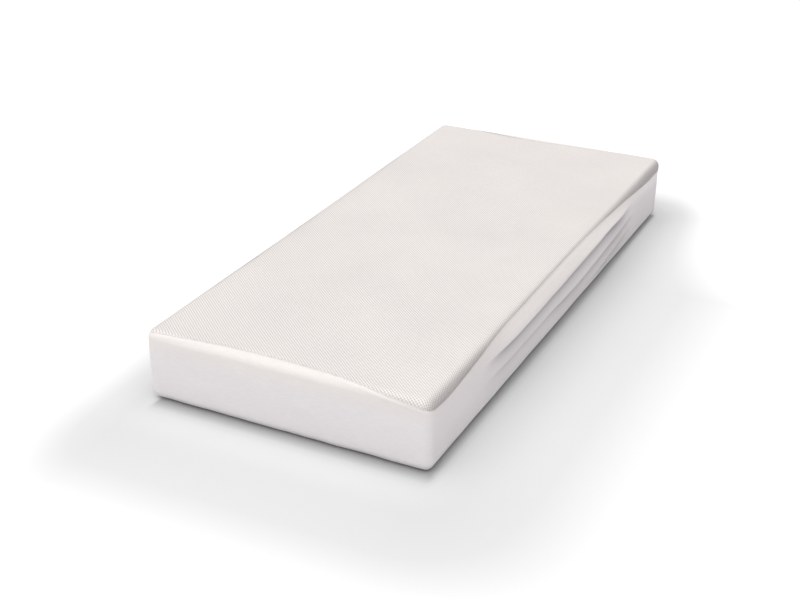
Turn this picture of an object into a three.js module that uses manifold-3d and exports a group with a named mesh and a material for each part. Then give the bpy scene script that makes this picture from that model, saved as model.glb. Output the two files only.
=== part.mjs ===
// A single memory foam mattress, 900 x 2000 x 220 mm: a removable zipped cover, a knitted inner sleeve and three
// bonded foam layers. Millimetres, +Z up, +Y along the length. The origin is the middle of the underside.
// The zip runs across the underside near the -Y end; its slider travels along it and carries a hinged pull tab.

import * as THREE from "three";
import { mergeVertices } from "three/addons/utils/BufferGeometryUtils.js";
import Module from "manifold-3d";

const wasm = await Module();
wasm.setup();

// ---- Driving dimensions -------------------------------------------------------------------------------------

const MATTRESS = { width: 900, length: 2000, height: 220 };
const EDGE = { top: 25, bottom: 30, upright: 26, sharpest: 1 }; // radii of the rounded edges
const CORNER_GROWTH = 0.25; // how fast a ring's corner radius grows with its inset on the flat faces

// Each layer lies `depth` inside the cover's outer face. Its underside lifts by `lift` over the groove round the
// base seam, where the zip and the binding lie clear of the floor.
const COVER = { depth: 0, thickness: 2.4, lift: 5.6 };
const SLEEVE = { depth: 4.6, thickness: 1.2, lift: 8 };
const FOAM = { depth: 6.2, lift: 8 };
const GROOVE = { inset: 85, crown: 10, reach: 34 }; // centre line, half width at full lift, half width in all

const FOAM_GAP = 0.3;
const MEMORY_FOAM_HEIGHT = 50;
const TRANSITION_FOAM_HEIGHT = 30;

// The seam between the top panel and the skirt, as distances down the rounded edge from the start of its arc.
// A negative value lies inboard on the flat top. Each knot is [turn, distance]: turn 0 to 1 runs along the -Y end,
// 1 to 2 along the +X side, 2 to 3 along the +Y end and 3 to 4 along the -X side, with a corner at each whole turn.
const SEAM_KNOTS = [
  [0, 16], [0.12, 9], [0.42, -9], [0.7, 5], [0.85, 23], [1, 42],
  [1.04, 50], [1.15, 38], [1.23, 26], [1.34, 23], [1.64, 23], [1.78, 34], [1.96, 58],
  [2.03, 52], [2.18, 20], [2.5, -6], [2.82, 14], [2.97, 46],
  [3.05, 50], [3.2, 22], [3.35, 12], [3.7, 10], [3.9, 20],
];
const SEAM_CORD_RADIUS = 1.2;
const SEAM_CORD_DEPTH = 1.4;
const SEAM_HALF_GAP = 2; // from the seam's line to the panel's edge and to the skirt's edge

const BASE_EDGE = 7.5; // from the groove's centre line to the skirt's edge and to the base panel's edge
const BINDING = { halfWidth: 7.1, z0: 5.6, z1: 8 };

// The zip. Every z is above the underside; `half` and `gap` are distances from the chain's centre line.
const TAPE = { halfLength: 335, gap: 0.8, half: 16, z0: 8.4, z1: 9.1 };
const COIL = { x0: -316, x1: 310, gap: 0.8, half: 3.6, z0: 6.2, z1: 8.1, chamfer: 0.5 };
const SLIDER = {
  x: 303, halfLength: 6.5, halfFront: 5.6, halfRear: 4.7, plate: 1.2, outerZ: 4.6, innerZ: 9.5,
  flange: 0.8, flangeZ: 7.7, postHalf: 0.42, postFrom: 2.6, postTo: 5.6,
};
const CROWN = { halfLength: 4.3, halfWidth: 1.1, leg: 1.2, z0: 0.95, z1: 2.05 };
const TAB = { z: 3.3, thickness: 1.2, halfWidth: 3.6, holeHalf: 1.8, bar: 0.6, hole: 6.4, length: 24 };
const BOTTOM_STOP = { x0: -322, x1: -317, half: 3.9, web: 0.42, z0: 5.6, z1: 8.1, clipZ0: 9.4, clipZ1: 10 };
const TOP_STOP = { x0: 311.3, x1: 315.8, half: 3.4, webFrom: 0.12, webTo: 0.5, z0: 6, z1: 8.1, clipZ0: 9.4, clipZ1: 10 };

const SLIT = { halfLength: 300, height: 4, gap: 0.4 }; // the sleeve's closing slit, in its -Y end
const LABEL = { y: -730, length: 58, halfWidth: 12, z0: 4.4, z1: 4.8 };

// ---- Materials ----------------------------------------------------------------------------------------------

const finish = (color, roughness, metalness = 0) =>
  new THREE.MeshStandardMaterial({ color, roughness, metalness });

const panelKnit = finish(0xf1eeea, 0.9);
const skirtKnit = finish(0xeae6e8, 0.85);
const baseFabric = finish(0xd9d9dc, 0.9);
const bindingTape = finish(0xe4e2e2, 0.8);
const zipTape = finish(0xe8e8e8, 0.8);
const zipNylon = finish(0xf0f0f0, 0.45);
const zincAlloy = finish(0xb9bbbe, 0.35, 0.9);
const sleeveKnit = finish(0xf4f2ec, 0.95);
const memoryFoam = finish(0xf3ecd2, 0.95);
const transitionFoam = finish(0xcfe3ee, 0.95);
const supportFoam = finish(0xe6e6e2, 0.95);
const labelSatin = finish(0xfafafa, 0.5);

// ---- The rounded-rectangle rings that every layer is lofted from ----------------------------------------------

const CORNERS = [[1, -1], [1, 1], [-1, 1], [-1, -1]]; // the corner at the end of each side, as signs of x and y
const CORNER_SHARE = [0.03, 0.013]; // half a corner's share of a short and of a long side's turn

// Stations round a ring: corner stations hold a `turn` from 0 to 1 through the corner, side stations a share `along`.
// `u` is the station's place in SEAM_KNOTS.
function stations(shortSteps, longSteps, cornerSteps) {
  const list = [];
  for (let side = 0; side < 4; side++) {
    const steps = side % 2 ? longSteps : shortSteps;
    const margin = CORNER_SHARE[side % 2];
    const nextMargin = CORNER_SHARE[(side + 1) % 2];
    for (let i = 1; i < steps; i++) {
      const along = i / steps;
      list.push({ side, along, u: side + margin + along * (1 - 2 * margin) });
    }
    for (let i = 0; i <= cornerSteps; i++) {
      const turn = i / cornerSteps;
      list.push({ side, turn, u: side + 1 - margin + turn * (margin + nextMargin) });
    }
  }
  return list;
}

function ringRadius(inset) {
  return Math.max(EDGE.upright - inset, EDGE.sharpest) + Math.max(inset - EDGE.top, 0) * CORNER_GROWTH;
}

function cornerPoint(side, turn, inset, z) {
  const [sx, sy] = CORNERS[side];
  const r = ringRadius(inset);
  const angle = ((side - 1 + turn) * Math.PI) / 2;
  return new THREE.Vector3(
    sx * (MATTRESS.width / 2 - inset - r) + r * Math.cos(angle),
    sy * (MATTRESS.length / 2 - inset - r) + r * Math.sin(angle),
    z,
  );
}

function ringPoint(station, inset, z) {
  if (station.turn !== undefined) return cornerPoint(station.side, station.turn, inset, z);
  const from = cornerPoint((station.side + 3) % 4, 1, inset, z);
  return from.lerp(cornerPoint(station.side, 0, inset, z), station.along);
}

const ring = (round, inset, z) => round.map((station) => ringPoint(station, inset, z));

// How much of the lift applies at an inset: 1 over the groove's crown, easing to 0 at its reach.
function grooveShare(inset) {
  const from = (Math.abs(inset - GROOVE.inset) - GROOVE.crown) / (GROOVE.reach - GROOVE.crown);
  return (1 + Math.cos(Math.PI * THREE.MathUtils.clamp(from, 0, 1))) / 2;
}

const undersideZ = (layer, inset) => layer.depth + layer.lift * grooveShare(inset);

// The height's profile over the top edge, at distance w from the start of the top arc, `depth` inside the outer face.
const TOP_ARC = (EDGE.top * Math.PI) / 2;
const ARC_END_Z = MATTRESS.height - EDGE.top;

function edgeProfile(w, depth) {
  const angle = THREE.MathUtils.clamp(w, 0, TOP_ARC) / EDGE.top;
  const r = EDGE.top - depth;
  return {
    inset: EDGE.top - r * Math.sin(angle) + Math.max(-w, 0),
    z: ARC_END_Z + r * Math.cos(angle) - Math.max(w - TOP_ARC, 0),
  };
}

// [inset, z] pairs down a layer's bottom arc, from the side to the flat of the underside.
function bottomArc(depth, steps) {
  const r = EDGE.bottom - depth;
  return Array.from({ length: steps + 1 }, (_, i) => {
    const angle = (i / steps) * (Math.PI / 2);
    return [EDGE.bottom - r * Math.cos(angle), EDGE.bottom - r * Math.sin(angle)];
  });
}

// [inset, z] pairs across the underside of a layer between two insets.
const underside = (layer, from, to, steps) =>
  Array.from({ length: steps + 1 }, (_, i) => {
    const inset = from + ((to - from) * i) / steps;
    return [inset, undersideZ(layer, inset)];
  });

// ---- Solids from loops of points ------------------------------------------------------------------------------

// Skins a list of equal loops of points, splitting each four-sided patch along its shorter diagonal. A ring joins its
// last loop to its first; otherwise fans close both ends.
function skin(loops, isRing = false) {
  const n = loops[0].length;
  const vertices = loops.flat();
  const triangles = [];
  const bands = isRing ? loops.length : loops.length - 1;
  for (let i = 0; i < bands; i++) {
    const a = i * n;
    const b = ((i + 1) % loops.length) * n;
    for (let j = 0; j < n; j++) {
      const k = (j + 1) % n;
      const [p, q, r, s] = [a + j, a + k, b + k, b + j];
      const isShorter = vertices[p].distanceTo(vertices[r]) <= vertices[q].distanceTo(vertices[s]);
      triangles.push(...(isShorter ? [p, q, r, p, r, s] : [p, q, s, q, r, s]));
    }
  }
  const fan = (loop, first, flip) => {
    const middle = loop.reduce((sum, p) => sum.add(p), new THREE.Vector3()).divideScalar(n);
    const c = vertices.push(middle) - 1;
    for (let j = 0; j < n; j++) {
      const k = (j + 1) % n;
      triangles.push(c, first + (flip ? k : j), first + (flip ? j : k));
    }
  };
  if (!isRing) {
    fan(loops[0], 0, true);
    fan(loops[loops.length - 1], (loops.length - 1) * n, false);
  }
  const signedVolume = (i) => vertices[triangles[i]].dot(
    new THREE.Vector3().crossVectors(vertices[triangles[i + 1]], vertices[triangles[i + 2]]),
  );
  let volume = 0;
  for (let i = 0; i < triangles.length; i += 3) volume += signedVolume(i);
  if (volume < 0) triangles.reverse();
  const geometry = new THREE.BufferGeometry().setFromPoints(vertices);
  geometry.setIndex(triangles);
  return geometry;
}

const rings = (round, pairs) => pairs.map(([inset, z]) => ring(round, inset, z));

function toSolid(geometry) {
  const bare = geometry.clone();
  bare.deleteAttribute("normal");
  bare.deleteAttribute("uv");
  const merged = mergeVertices(bare);
  return new wasm.Manifold(new wasm.Mesh({
    numProp: 3,
    vertProperties: merged.attributes.position.array,
    triVerts: new Uint32Array(merged.index.array),
  }));
}

function toGeometry(solid) {
  const { vertProperties, triVerts } = solid.getMesh();
  const geometry = new THREE.BufferGeometry();
  geometry.setAttribute("position", new THREE.BufferAttribute(vertProperties, 3));
  geometry.setIndex(new THREE.BufferAttribute(triVerts, 1));
  return geometry;
}

const joined = (geometries) => toGeometry(geometries.map(toSolid).reduce((a, b) => a.add(b)));

// A box from its two corners.
function block([x0, y0, z0], [x1, y1, z1]) {
  const box = new THREE.BoxGeometry(Math.abs(x1 - x0), Math.abs(y1 - y0), Math.abs(z1 - z0));
  return box.translate((x0 + x1) / 2, (y0 + y1) / 2, (z0 + z1) / 2);
}

// ---- The cover ------------------------------------------------------------------------------------------------

const COVER_ROUND = stations(10, 20, 4);
const PLAIN_ROUND = stations(1, 1, 4);
const PANEL_FLAT = -70; // the panel is flat further inboard than this
const PANEL_STEPS = 12;
const SKIRT_PLUMB = 72; // the skirt is a plain wall below this distance down the edge
const SKIRT_STEPS = 9;

// The seam's distance down the edge at a turn, by a cubic curve through the knots with each knot's slope taken from
// its two neighbours.
function seamDrop(u) {
  const count = SEAM_KNOTS.length;
  const knot = (i) => {
    const lap = Math.floor(i / count);
    const [turn, drop] = SEAM_KNOTS[i - lap * count];
    return { turn: turn + 4 * lap, drop };
  };
  const turn = THREE.MathUtils.euclideanModulo(u, 4);
  let i = 0;
  while (i < count - 1 && SEAM_KNOTS[i + 1][0] <= turn) i++;
  const [before, a, b, after] = [knot(i - 1), knot(i), knot(i + 1), knot(i + 2)];
  const span = b.turn - a.turn;
  const slopeA = ((b.drop - before.drop) / (b.turn - before.turn)) * span;
  const slopeB = ((after.drop - a.drop) / (after.turn - a.turn)) * span;
  const t = (turn - a.turn) / span;
  return (2 * t ** 3 - 3 * t ** 2 + 1) * a.drop + (t ** 3 - 2 * t ** 2 + t) * slopeA +
    (3 * t ** 2 - 2 * t ** 3) * b.drop + (t ** 3 - t ** 2) * slopeB;
}

// The ring that lies a share t of the way from the seam's edge to the distance `to`.
const seamRing = (edge, to, t, depth) =>
  COVER_ROUND.map((station) => {
    const from = seamDrop(station.u) + edge;
    const { inset, z } = edgeProfile(from + (to - from) * t, depth);
    return ringPoint(station, inset, z);
  });

// Rings from the seam's edge to the distance `to`, on one face of the cover.
const seamRings = (edge, to, steps, depth) =>
  Array.from({ length: steps + 1 }, (_, i) => seamRing(edge, to, i / steps, depth));

function coverTopPanel() {
  const outer = seamRings(-SEAM_HALF_GAP, PANEL_FLAT, PANEL_STEPS, 0).reverse();
  const inner = seamRings(-SEAM_HALF_GAP, PANEL_FLAT, PANEL_STEPS, COVER.thickness);
  return skin([...outer, ...inner]);
}

// The skirt wraps over the top edge, down the side, round the bottom edge and in to its edge at the groove.
function coverSkirt() {
  const wall = (depth) => [
    ...seamRings(SEAM_HALF_GAP, SKIRT_PLUMB, SKIRT_STEPS, depth),
    ...rings(COVER_ROUND, bottomArc(depth, 4)),
    ...rings(COVER_ROUND, underside({ ...COVER, depth }, GROOVE.inset - GROOVE.reach, GROOVE.inset - GROOVE.crown, 4)),
    ring(COVER_ROUND, GROOVE.inset - BASE_EDGE, depth + COVER.lift),
  ];
  return skin([...wall(0), ...wall(COVER.thickness).reverse()], true);
}

// A fine round cord of folded binding, sewn in between the top panel and the skirt.
function topSeamCord() {
  const section = Array.from({ length: 8 }, (_, i) => (i / 8) * 2 * Math.PI);
  const rows = section.map((angle) =>
    COVER_ROUND.map((station) => {
      const along = seamDrop(station.u) + SEAM_CORD_RADIUS * Math.cos(angle);
      const { inset, z } = edgeProfile(along, SEAM_CORD_DEPTH + SEAM_CORD_RADIUS * Math.sin(angle));
      return ringPoint(station, inset, z);
    }),
  );
  return skin(rows, true);
}

function basePanel() {
  const face = (depth) => [
    ...rings(PLAIN_ROUND, underside({ ...COVER, depth }, GROOVE.inset + GROOVE.reach, GROOVE.inset + GROOVE.crown, 4)),
    ring(PLAIN_ROUND, GROOVE.inset + BASE_EDGE, depth + COVER.lift),
  ];
  return skin([...face(0), ...face(COVER.thickness).reverse()]);
}

// The folded tape that joins the skirt to the base panel everywhere but along the zip.
function baseSeamBinding() {
  const section = [
    [GROOVE.inset - BINDING.halfWidth, BINDING.z0],
    [GROOVE.inset + BINDING.halfWidth, BINDING.z0],
    [GROOVE.inset + BINDING.halfWidth, BINDING.z1],
    [GROOVE.inset - BINDING.halfWidth, BINDING.z1],
  ];
  const loops = PLAIN_ROUND.map((station) => section.map(([inset, z]) => ringPoint(station, inset, z)));
  const zipEnd = (sign) =>
    section.map(([inset, z]) => new THREE.Vector3(sign * (TAPE.halfLength + 1), inset - MATTRESS.length / 2, z));
  return skin([zipEnd(1), ...loops, zipEnd(-1)]);
}

function careLabel() {
  const x = GROOVE.inset - MATTRESS.width / 2;
  return block(
    [x - LABEL.halfWidth, LABEL.y - LABEL.length / 2, LABEL.z0],
    [x + LABEL.halfWidth, LABEL.y + LABEL.length / 2, LABEL.z1],
  );
}

// ---- The zip, built about its own centre line and then moved to the groove ---------------------------------------

// The tape of one side, +1 for the base panel's and -1 for the skirt's.
const zipTapeSide = (sign) =>
  block([-TAPE.halfLength, sign * TAPE.gap, TAPE.z0], [TAPE.halfLength, sign * TAPE.half, TAPE.z1]);

// One row of the nylon coil, as a rod with its lower edges chamfered.
function zipCoil(sign) {
  const { gap, half, z0, z1, chamfer } = COIL;
  const outline = new THREE.Shape([
    new THREE.Vector2(gap, z1),
    new THREE.Vector2(gap, z0 + chamfer),
    new THREE.Vector2(gap + chamfer, z0),
    new THREE.Vector2(half - chamfer, z0),
    new THREE.Vector2(half, z0 + chamfer),
    new THREE.Vector2(half, z1),
  ]);
  const rod = new THREE.ExtrudeGeometry(outline, { depth: COIL.x1 - COIL.x0, bevelEnabled: false });
  // The outline's x becomes y, its y becomes z, and the extrusion runs along x.
  rod.applyMatrix4(new THREE.Matrix4().makeBasis(
    new THREE.Vector3(0, 1, 0),
    new THREE.Vector3(0, 0, 1),
    new THREE.Vector3(1, 0, 0),
  ));
  rod.translate(COIL.x0, 0, 0);
  return sign > 0 ? rod : rod.rotateX(Math.PI).translate(0, 0, z0 + z1);
}

// A crimped stop under the tapes, with a web through the gap between them and a clip above.
const crimpedStop = (s, lowY, highY, webLowY, webHighY) =>
  joined([
    block([s.x0, lowY, s.z0], [s.x1, highY, s.z1]),
    block([s.x0, webLowY, s.z1 - 0.5], [s.x1, webHighY, s.clipZ0 + 0.3]),
    block([s.x0, lowY, s.clipZ0], [s.x1, highY, s.clipZ1]),
  ]);

const zipBottomStop = () =>
  crimpedStop(BOTTOM_STOP, -BOTTOM_STOP.half, BOTTOM_STOP.half, -BOTTOM_STOP.web, BOTTOM_STOP.web);

function zipTopStop(sign) {
  const { half, webFrom, webTo } = TOP_STOP;
  return sign > 0
    ? crimpedStop(TOP_STOP, webFrom, half, webFrom, webTo)
    : crimpedStop(TOP_STOP, -half, -webFrom, -webTo, -webFrom);
}

// The slider's plan outline: broad shoulders at its front, towards +X, and a narrower rounded rear.
function sliderOutline(narrowing = 0) {
  const { halfLength: l, halfFront, halfRear } = SLIDER;
  const f = halfFront - narrowing;
  const r = halfRear - narrowing;
  const outline = new THREE.Shape();
  outline.moveTo(-l, -r + 1.5);
  outline.quadraticCurveTo(-l, -r, -l + 1.5, -r);
  outline.lineTo(0, -r);
  outline.quadraticCurveTo(2, -f, l - 1.5, -f);
  outline.quadraticCurveTo(l, -f, l, -f + 2);
  outline.lineTo(l, f - 2);
  outline.quadraticCurveTo(l, f, l - 1.5, f);
  outline.quadraticCurveTo(2, f, 0, r);
  outline.lineTo(-l + 1.5, r);
  outline.quadraticCurveTo(-l, r, -l, r - 1.5);
  return outline;
}

const flatPlate = (outline, z0, z1, curveSegments = 4) =>
  new THREE.ExtrudeGeometry(outline, { depth: z1 - z0, bevelEnabled: false, curveSegments }).translate(0, 0, z0);

// Two plates joined by the post that parts the rows, with flanges on the outer plate and a crown for the pull tab.
function zipSlider() {
  const { halfLength, plate, outerZ, innerZ, flange, flangeZ, postHalf, postFrom, postTo } = SLIDER;
  const bite = 0.2; // how far the joined blocks reach into each other
  const rim = toSolid(flatPlate(sliderOutline(), outerZ, flangeZ)).subtract(
    toSolid(flatPlate(sliderOutline(flange), outerZ + plate, flangeZ + 1)),
  ).subtract(
    toSolid(block([-halfLength - 1, -COIL.half - 0.4, outerZ + plate], [halfLength + 1, COIL.half + 0.4, flangeZ + 1])),
  );
  const { halfLength: reach, halfWidth, leg, z0, z1 } = CROWN;
  const parts = [
    flatPlate(sliderOutline(), innerZ, innerZ + plate),
    block([postFrom, -postHalf, outerZ + plate - bite], [postTo, postHalf, innerZ + bite]),
    block([-reach, -halfWidth, z0], [reach, halfWidth, z1]),
    block([-reach, -halfWidth, z1 - bite], [-reach + leg, halfWidth, outerZ + bite]),
    block([reach - leg, -halfWidth, z1 - bite], [reach, halfWidth, outerZ + bite]),
  ].map(toSolid);
  return toGeometry(parts.reduce((a, b) => a.add(b), rim));
}

// A flat tongue with an eye round the crown. Its bar lies on the hinge's axis, and it points along -X.
function zipPullTab() {
  const { thickness, halfWidth, holeHalf, bar, hole, length } = TAB;
  const tongue = new THREE.Shape();
  tongue.moveTo(bar, -halfWidth);
  tongue.lineTo(bar, halfWidth);
  tongue.lineTo(-hole - 3, halfWidth);
  tongue.lineTo(-length + 3, halfWidth - 0.8);
  tongue.quadraticCurveTo(-length, halfWidth - 0.8, -length, 0);
  tongue.quadraticCurveTo(-length, -halfWidth + 0.8, -length + 3, -halfWidth + 0.8);
  tongue.lineTo(-hole - 3, -halfWidth);
  tongue.closePath();
  const eye = new THREE.Path();
  eye.moveTo(-bar, -holeHalf);
  eye.lineTo(-bar, holeHalf);
  eye.lineTo(-hole, holeHalf);
  eye.lineTo(-hole, -holeHalf);
  eye.closePath();
  tongue.holes.push(eye);
  return flatPlate(tongue, -thickness / 2, thickness / 2);
}

// ---- The sleeve and the foam --------------------------------------------------------------------------------------

// [inset, z] pairs down a layer's whole outer face, from its flat top to the middle of its underside.
function layerFace(layer) {
  const steps = 4;
  const top = Array.from({ length: steps + 1 }, (_, i) => {
    const { inset, z } = edgeProfile((i / steps) * TOP_ARC, layer.depth);
    return [inset, z];
  });
  const { inset, reach, crown } = GROOVE;
  return [
    ...top,
    ...bottomArc(layer.depth, steps),
    ...underside(layer, inset - reach, inset - crown, steps),
    ...underside(layer, inset + crown, inset + reach, steps),
  ];
}

const SLIT_Z = (MATTRESS.height - EDGE.top + EDGE.bottom) / 2;

// A box in the sleeve's -Y wall, reaching `over` past each of its faces, `gap` smaller all round than the slit.
const inSleeveWall = (over, gap) => {
  const y = -MATTRESS.length / 2 + SLEEVE.depth;
  return block(
    [-SLIT.halfLength + gap, y - over, SLIT_Z - SLIT.height / 2 + gap],
    [SLIT.halfLength - gap, y + SLEEVE.thickness + over, SLIT_Z + SLIT.height / 2 - gap],
  );
};

// A knitted tube drawn over the foam, closed at its ends but for the slit that it was pulled on through.
function innerSleeve() {
  const outer = toSolid(skin(rings(PLAIN_ROUND, layerFace(SLEEVE))));
  const inside = { ...SLEEVE, depth: SLEEVE.depth + SLEEVE.thickness };
  const inner = toSolid(skin(rings(PLAIN_ROUND, layerFace(inside))));
  return toGeometry(outer.subtract(inner).subtract(toSolid(inSleeveWall(1, 0))));
}

// A slab of the foam stack between two heights, cut from its whole outer shape.
function foamSlab(z0, z1) {
  const stack = toSolid(skin(rings(PLAIN_ROUND, layerFace(FOAM))));
  const half = [MATTRESS.width, MATTRESS.length];
  return toGeometry(stack.intersect(toSolid(block([-half[0], -half[1], z0], [half[0], half[1], z1]))));
}

const FOAM_TOP = MATTRESS.height - FOAM.depth;
const MEMORY_FOAM_Z = FOAM_TOP - MEMORY_FOAM_HEIGHT;
const TRANSITION_FOAM_Z = MEMORY_FOAM_Z - FOAM_GAP - TRANSITION_FOAM_HEIGHT;

// ---- The scene graph ------------------------------------------------------------------------------------------------

const mattress = new THREE.Group();

function place(name, geometry, material, parent = mattress) {
  const mesh = new THREE.Mesh(geometry, material);
  mesh.name = name;
  parent.add(mesh);
  return mesh;
}

place("cover_top_panel", coverTopPanel(), panelKnit);
place("cover_skirt", coverSkirt(), skirtKnit);
place("top_seam_cord", topSeamCord(), bindingTape);
place("base_panel", basePanel(), baseFabric);
place("base_seam_binding", baseSeamBinding(), bindingTape);
place("care_label", careLabel(), labelSatin);

const zip = new THREE.Group();
zip.position.y = GROOVE.inset - MATTRESS.length / 2;
mattress.add(zip);
place("zip_tape_skirt", zipTapeSide(-1), zipTape, zip);
place("zip_tape_base", zipTapeSide(1), zipTape, zip);
place("zip_coil_skirt", zipCoil(-1), zipNylon, zip);
place("zip_coil_base", zipCoil(1), zipNylon, zip);
place("zip_bottom_stop", zipBottomStop(), zincAlloy, zip);
place("zip_top_stop_skirt", zipTopStop(-1), zincAlloy, zip);
place("zip_top_stop_base", zipTopStop(1), zincAlloy, zip);

const puller = new THREE.Group();
puller.position.x = SLIDER.x;
zip.add(puller);
place("zip_slider", zipSlider(), zincAlloy, puller);
place("zip_pull_tab", zipPullTab(), zincAlloy, puller).position.z = TAB.z;

place("inner_sleeve", innerSleeve(), sleeveKnit);
place("sleeve_closing_seam", inSleeveWall(0, SLIT.gap), bindingTape);
place("memory_foam_layer", foamSlab(MEMORY_FOAM_Z, MATTRESS.height), memoryFoam);
place("transition_foam_layer", foamSlab(TRANSITION_FOAM_Z, MEMORY_FOAM_Z - FOAM_GAP), transitionFoam);
place("support_foam_core", foamSlab(-1, TRANSITION_FOAM_Z - FOAM_GAP), supportFoam);

export default mattress;
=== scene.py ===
"""A single memory foam mattress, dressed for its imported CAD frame.

The mattress wears a removable stretch cover: a top panel of diamond-relief knit, sewn to a plain knit skirt
that wraps round the bottom edge and is zipped to a woven base panel. A stockinette sleeve and three bonded
foam layers lie inside. Every length is in metres, +Z is up and +Y runs along the mattress, as in the frame.

Every soft surface is worked out on one rounded box. A point on it is a place round the outline and a distance
down the rounded edge, and each piece is a grid of such points, pushed in or out along the surface.
"""

from __future__ import annotations

import logging
import math
from dataclasses import dataclass, field
from enum import Enum, IntEnum

import bmesh
import bpy
import numpy as np
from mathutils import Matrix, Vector


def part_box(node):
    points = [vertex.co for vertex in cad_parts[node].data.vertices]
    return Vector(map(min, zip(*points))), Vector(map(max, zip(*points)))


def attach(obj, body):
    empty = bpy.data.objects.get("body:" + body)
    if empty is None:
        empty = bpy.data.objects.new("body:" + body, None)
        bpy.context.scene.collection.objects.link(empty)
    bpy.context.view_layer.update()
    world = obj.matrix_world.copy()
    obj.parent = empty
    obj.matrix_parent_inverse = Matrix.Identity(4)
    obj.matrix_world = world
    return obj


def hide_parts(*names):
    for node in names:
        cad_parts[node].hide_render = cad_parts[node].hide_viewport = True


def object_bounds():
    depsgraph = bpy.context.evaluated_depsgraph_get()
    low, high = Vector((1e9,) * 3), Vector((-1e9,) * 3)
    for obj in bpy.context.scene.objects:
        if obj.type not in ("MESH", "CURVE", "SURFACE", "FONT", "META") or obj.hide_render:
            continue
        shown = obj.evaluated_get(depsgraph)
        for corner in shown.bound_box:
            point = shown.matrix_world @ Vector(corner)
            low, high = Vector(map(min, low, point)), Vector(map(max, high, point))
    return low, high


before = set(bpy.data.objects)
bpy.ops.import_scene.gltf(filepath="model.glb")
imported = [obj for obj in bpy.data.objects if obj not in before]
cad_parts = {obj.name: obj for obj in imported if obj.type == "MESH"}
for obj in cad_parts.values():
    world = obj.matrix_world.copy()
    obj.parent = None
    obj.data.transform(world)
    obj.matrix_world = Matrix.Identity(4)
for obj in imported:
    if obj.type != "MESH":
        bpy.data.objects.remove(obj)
CAD_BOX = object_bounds()

LOG = logging.getLogger("mattress")
ROOT, SLIDER, PULL_TAB = "root", "slider", "pull_tab"
TAU = 2 * math.pi
# The mesh attribute that holds each point's painted shade, which darkens its colour.
SHADE = "painted_shade"
MEAN_SIDE = 1.4

Array = np.ndarray
Socket = bpy.types.NodeSocket
Rgb = tuple[float, float, float]


class Side(IntEnum):
    """The four sides in the order that a turn round the outline meets them."""

    FOOT = 0
    RIGHT = 1
    HEAD = 2
    LEFT = 3


# --------------------------------------------------------------------------------------------------
# Curves and waves
# --------------------------------------------------------------------------------------------------


def ease(x: Array) -> Array:
    """A smooth step from 0 to 1: 3x² - 2x³ between 0 and 1, and flat outside."""
    t = np.clip(x, 0.0, 1.0)
    return t * t * (3.0 - 2.0 * t)


def window(x: Array, start: float, end: float, fade: float) -> Array:
    """A smooth window that is 1 between start and end and fades to 0 inside each end.

    Args:
        x: The places to weigh.
        start: Where the window opens.
        end: Where it closes.
        fade: The length of each fade.

    Returns:
        The weights, from 0 to 1.
    """
    return ease((x - start) / fade) * ease((end - x) / fade)


def through(knots: tuple[tuple[float, float], ...], x: Array) -> Array:
    """A smooth curve through knots, on a cubic between each two whose slopes come from their neighbours.

    Args:
        knots: (place, value) pairs in rising order of place.
        x: The places to read. Past the ends the curve keeps its end values.

    Returns:
        The curve's values.
    """
    places, values = (np.array(column, float) for column in zip(*knots))
    slopes = np.gradient(values, places)
    x = np.clip(x, places[0], places[-1])
    i = np.clip(np.searchsorted(places, x, side="right") - 1, 0, len(places) - 2)
    span = places[i + 1] - places[i]
    t = (x - places[i]) / span
    return (
        (2 * t**3 - 3 * t**2 + 1) * values[i]
        + (t**3 - 2 * t**2 + t) * span * slopes[i]
        + (3 * t**2 - 2 * t**3) * values[i + 1]
        + (t**3 - t**2) * span * slopes[i + 1]
    )


def ripples(u: Array, v: Array, shortest: float, longest: float, seed: int, count: int = 14) -> Array:
    """Soft irregular waves: a sum of plane waves of mixed lengths and headings, scaled to about -1 to 1.

    Args:
        u: The first coordinate.
        v: The second coordinate.
        shortest: The shortest wavelength.
        longest: The longest wavelength.
        seed: Picks the headings and phases.
        count: The number of waves.

    Returns:
        The waves' height at each place.
    """
    random = np.random.default_rng(seed)
    lengths = np.exp(random.uniform(math.log(shortest), math.log(longest), count))
    headings, phases = random.uniform(0, TAU, (2, count))
    total = np.zeros(np.broadcast(u, v).shape)
    for length, heading, phase in zip(lengths, headings, phases):
        total += np.sin(TAU / length * (u * math.cos(heading) + v * math.sin(heading)) + phase)
    return total / math.sqrt(2 * count)


def legs(start: Array | float, bend: Array | float, end: Array | float, first: int, second: int) -> Array:
    """Rows in two legs: even steps from the start to the bend, then even steps from the bend to the end.

    Args:
        start: Where the rows start, one value or one for each column.
        bend: Where the first leg ends.
        end: Where the rows end.
        first: Steps in the first leg.
        second: Steps in the second leg.

    Returns:
        The rows, each with one value for every column.
    """
    start, bend, end = np.broadcast_arrays(start, bend, end)
    upper = np.linspace(0, 1, first, endpoint=False)[:, None]
    lower = np.linspace(0, 1, second + 1)[:, None]
    return np.concatenate([start + (bend - start) * upper, bend + (end - bend) * lower])


def run_length(path: Array) -> Array:
    """The distance along a path to each of its points."""
    return np.concatenate([[0], np.cumsum(np.linalg.norm(np.diff(path, axis=0), axis=1))])


def superellipse(
    sides: int, half: float, rise: float, powers: tuple[float, float]
) -> tuple[Array, Array, Array]:
    """A rounded flat section, in which each coordinate is a sign times a power of the cosine or the sine.

    Args:
        sides: How many points it has.
        half: Half its width.
        rise: Half its height.
        powers: The powers across and up. The smaller they are, the squarer the section.

    Returns:
        The angle, the place across and the height of each point.
    """
    angle = np.arange(sides) / sides * TAU
    across = np.sign(np.cos(angle)) * np.abs(np.cos(angle)) ** powers[0] * half
    up = np.sign(np.sin(angle)) * np.abs(np.sin(angle)) ** powers[1] * rise
    return angle, across, up


# --------------------------------------------------------------------------------------------------
# The rounded box that every soft surface lies on
# --------------------------------------------------------------------------------------------------


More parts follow.
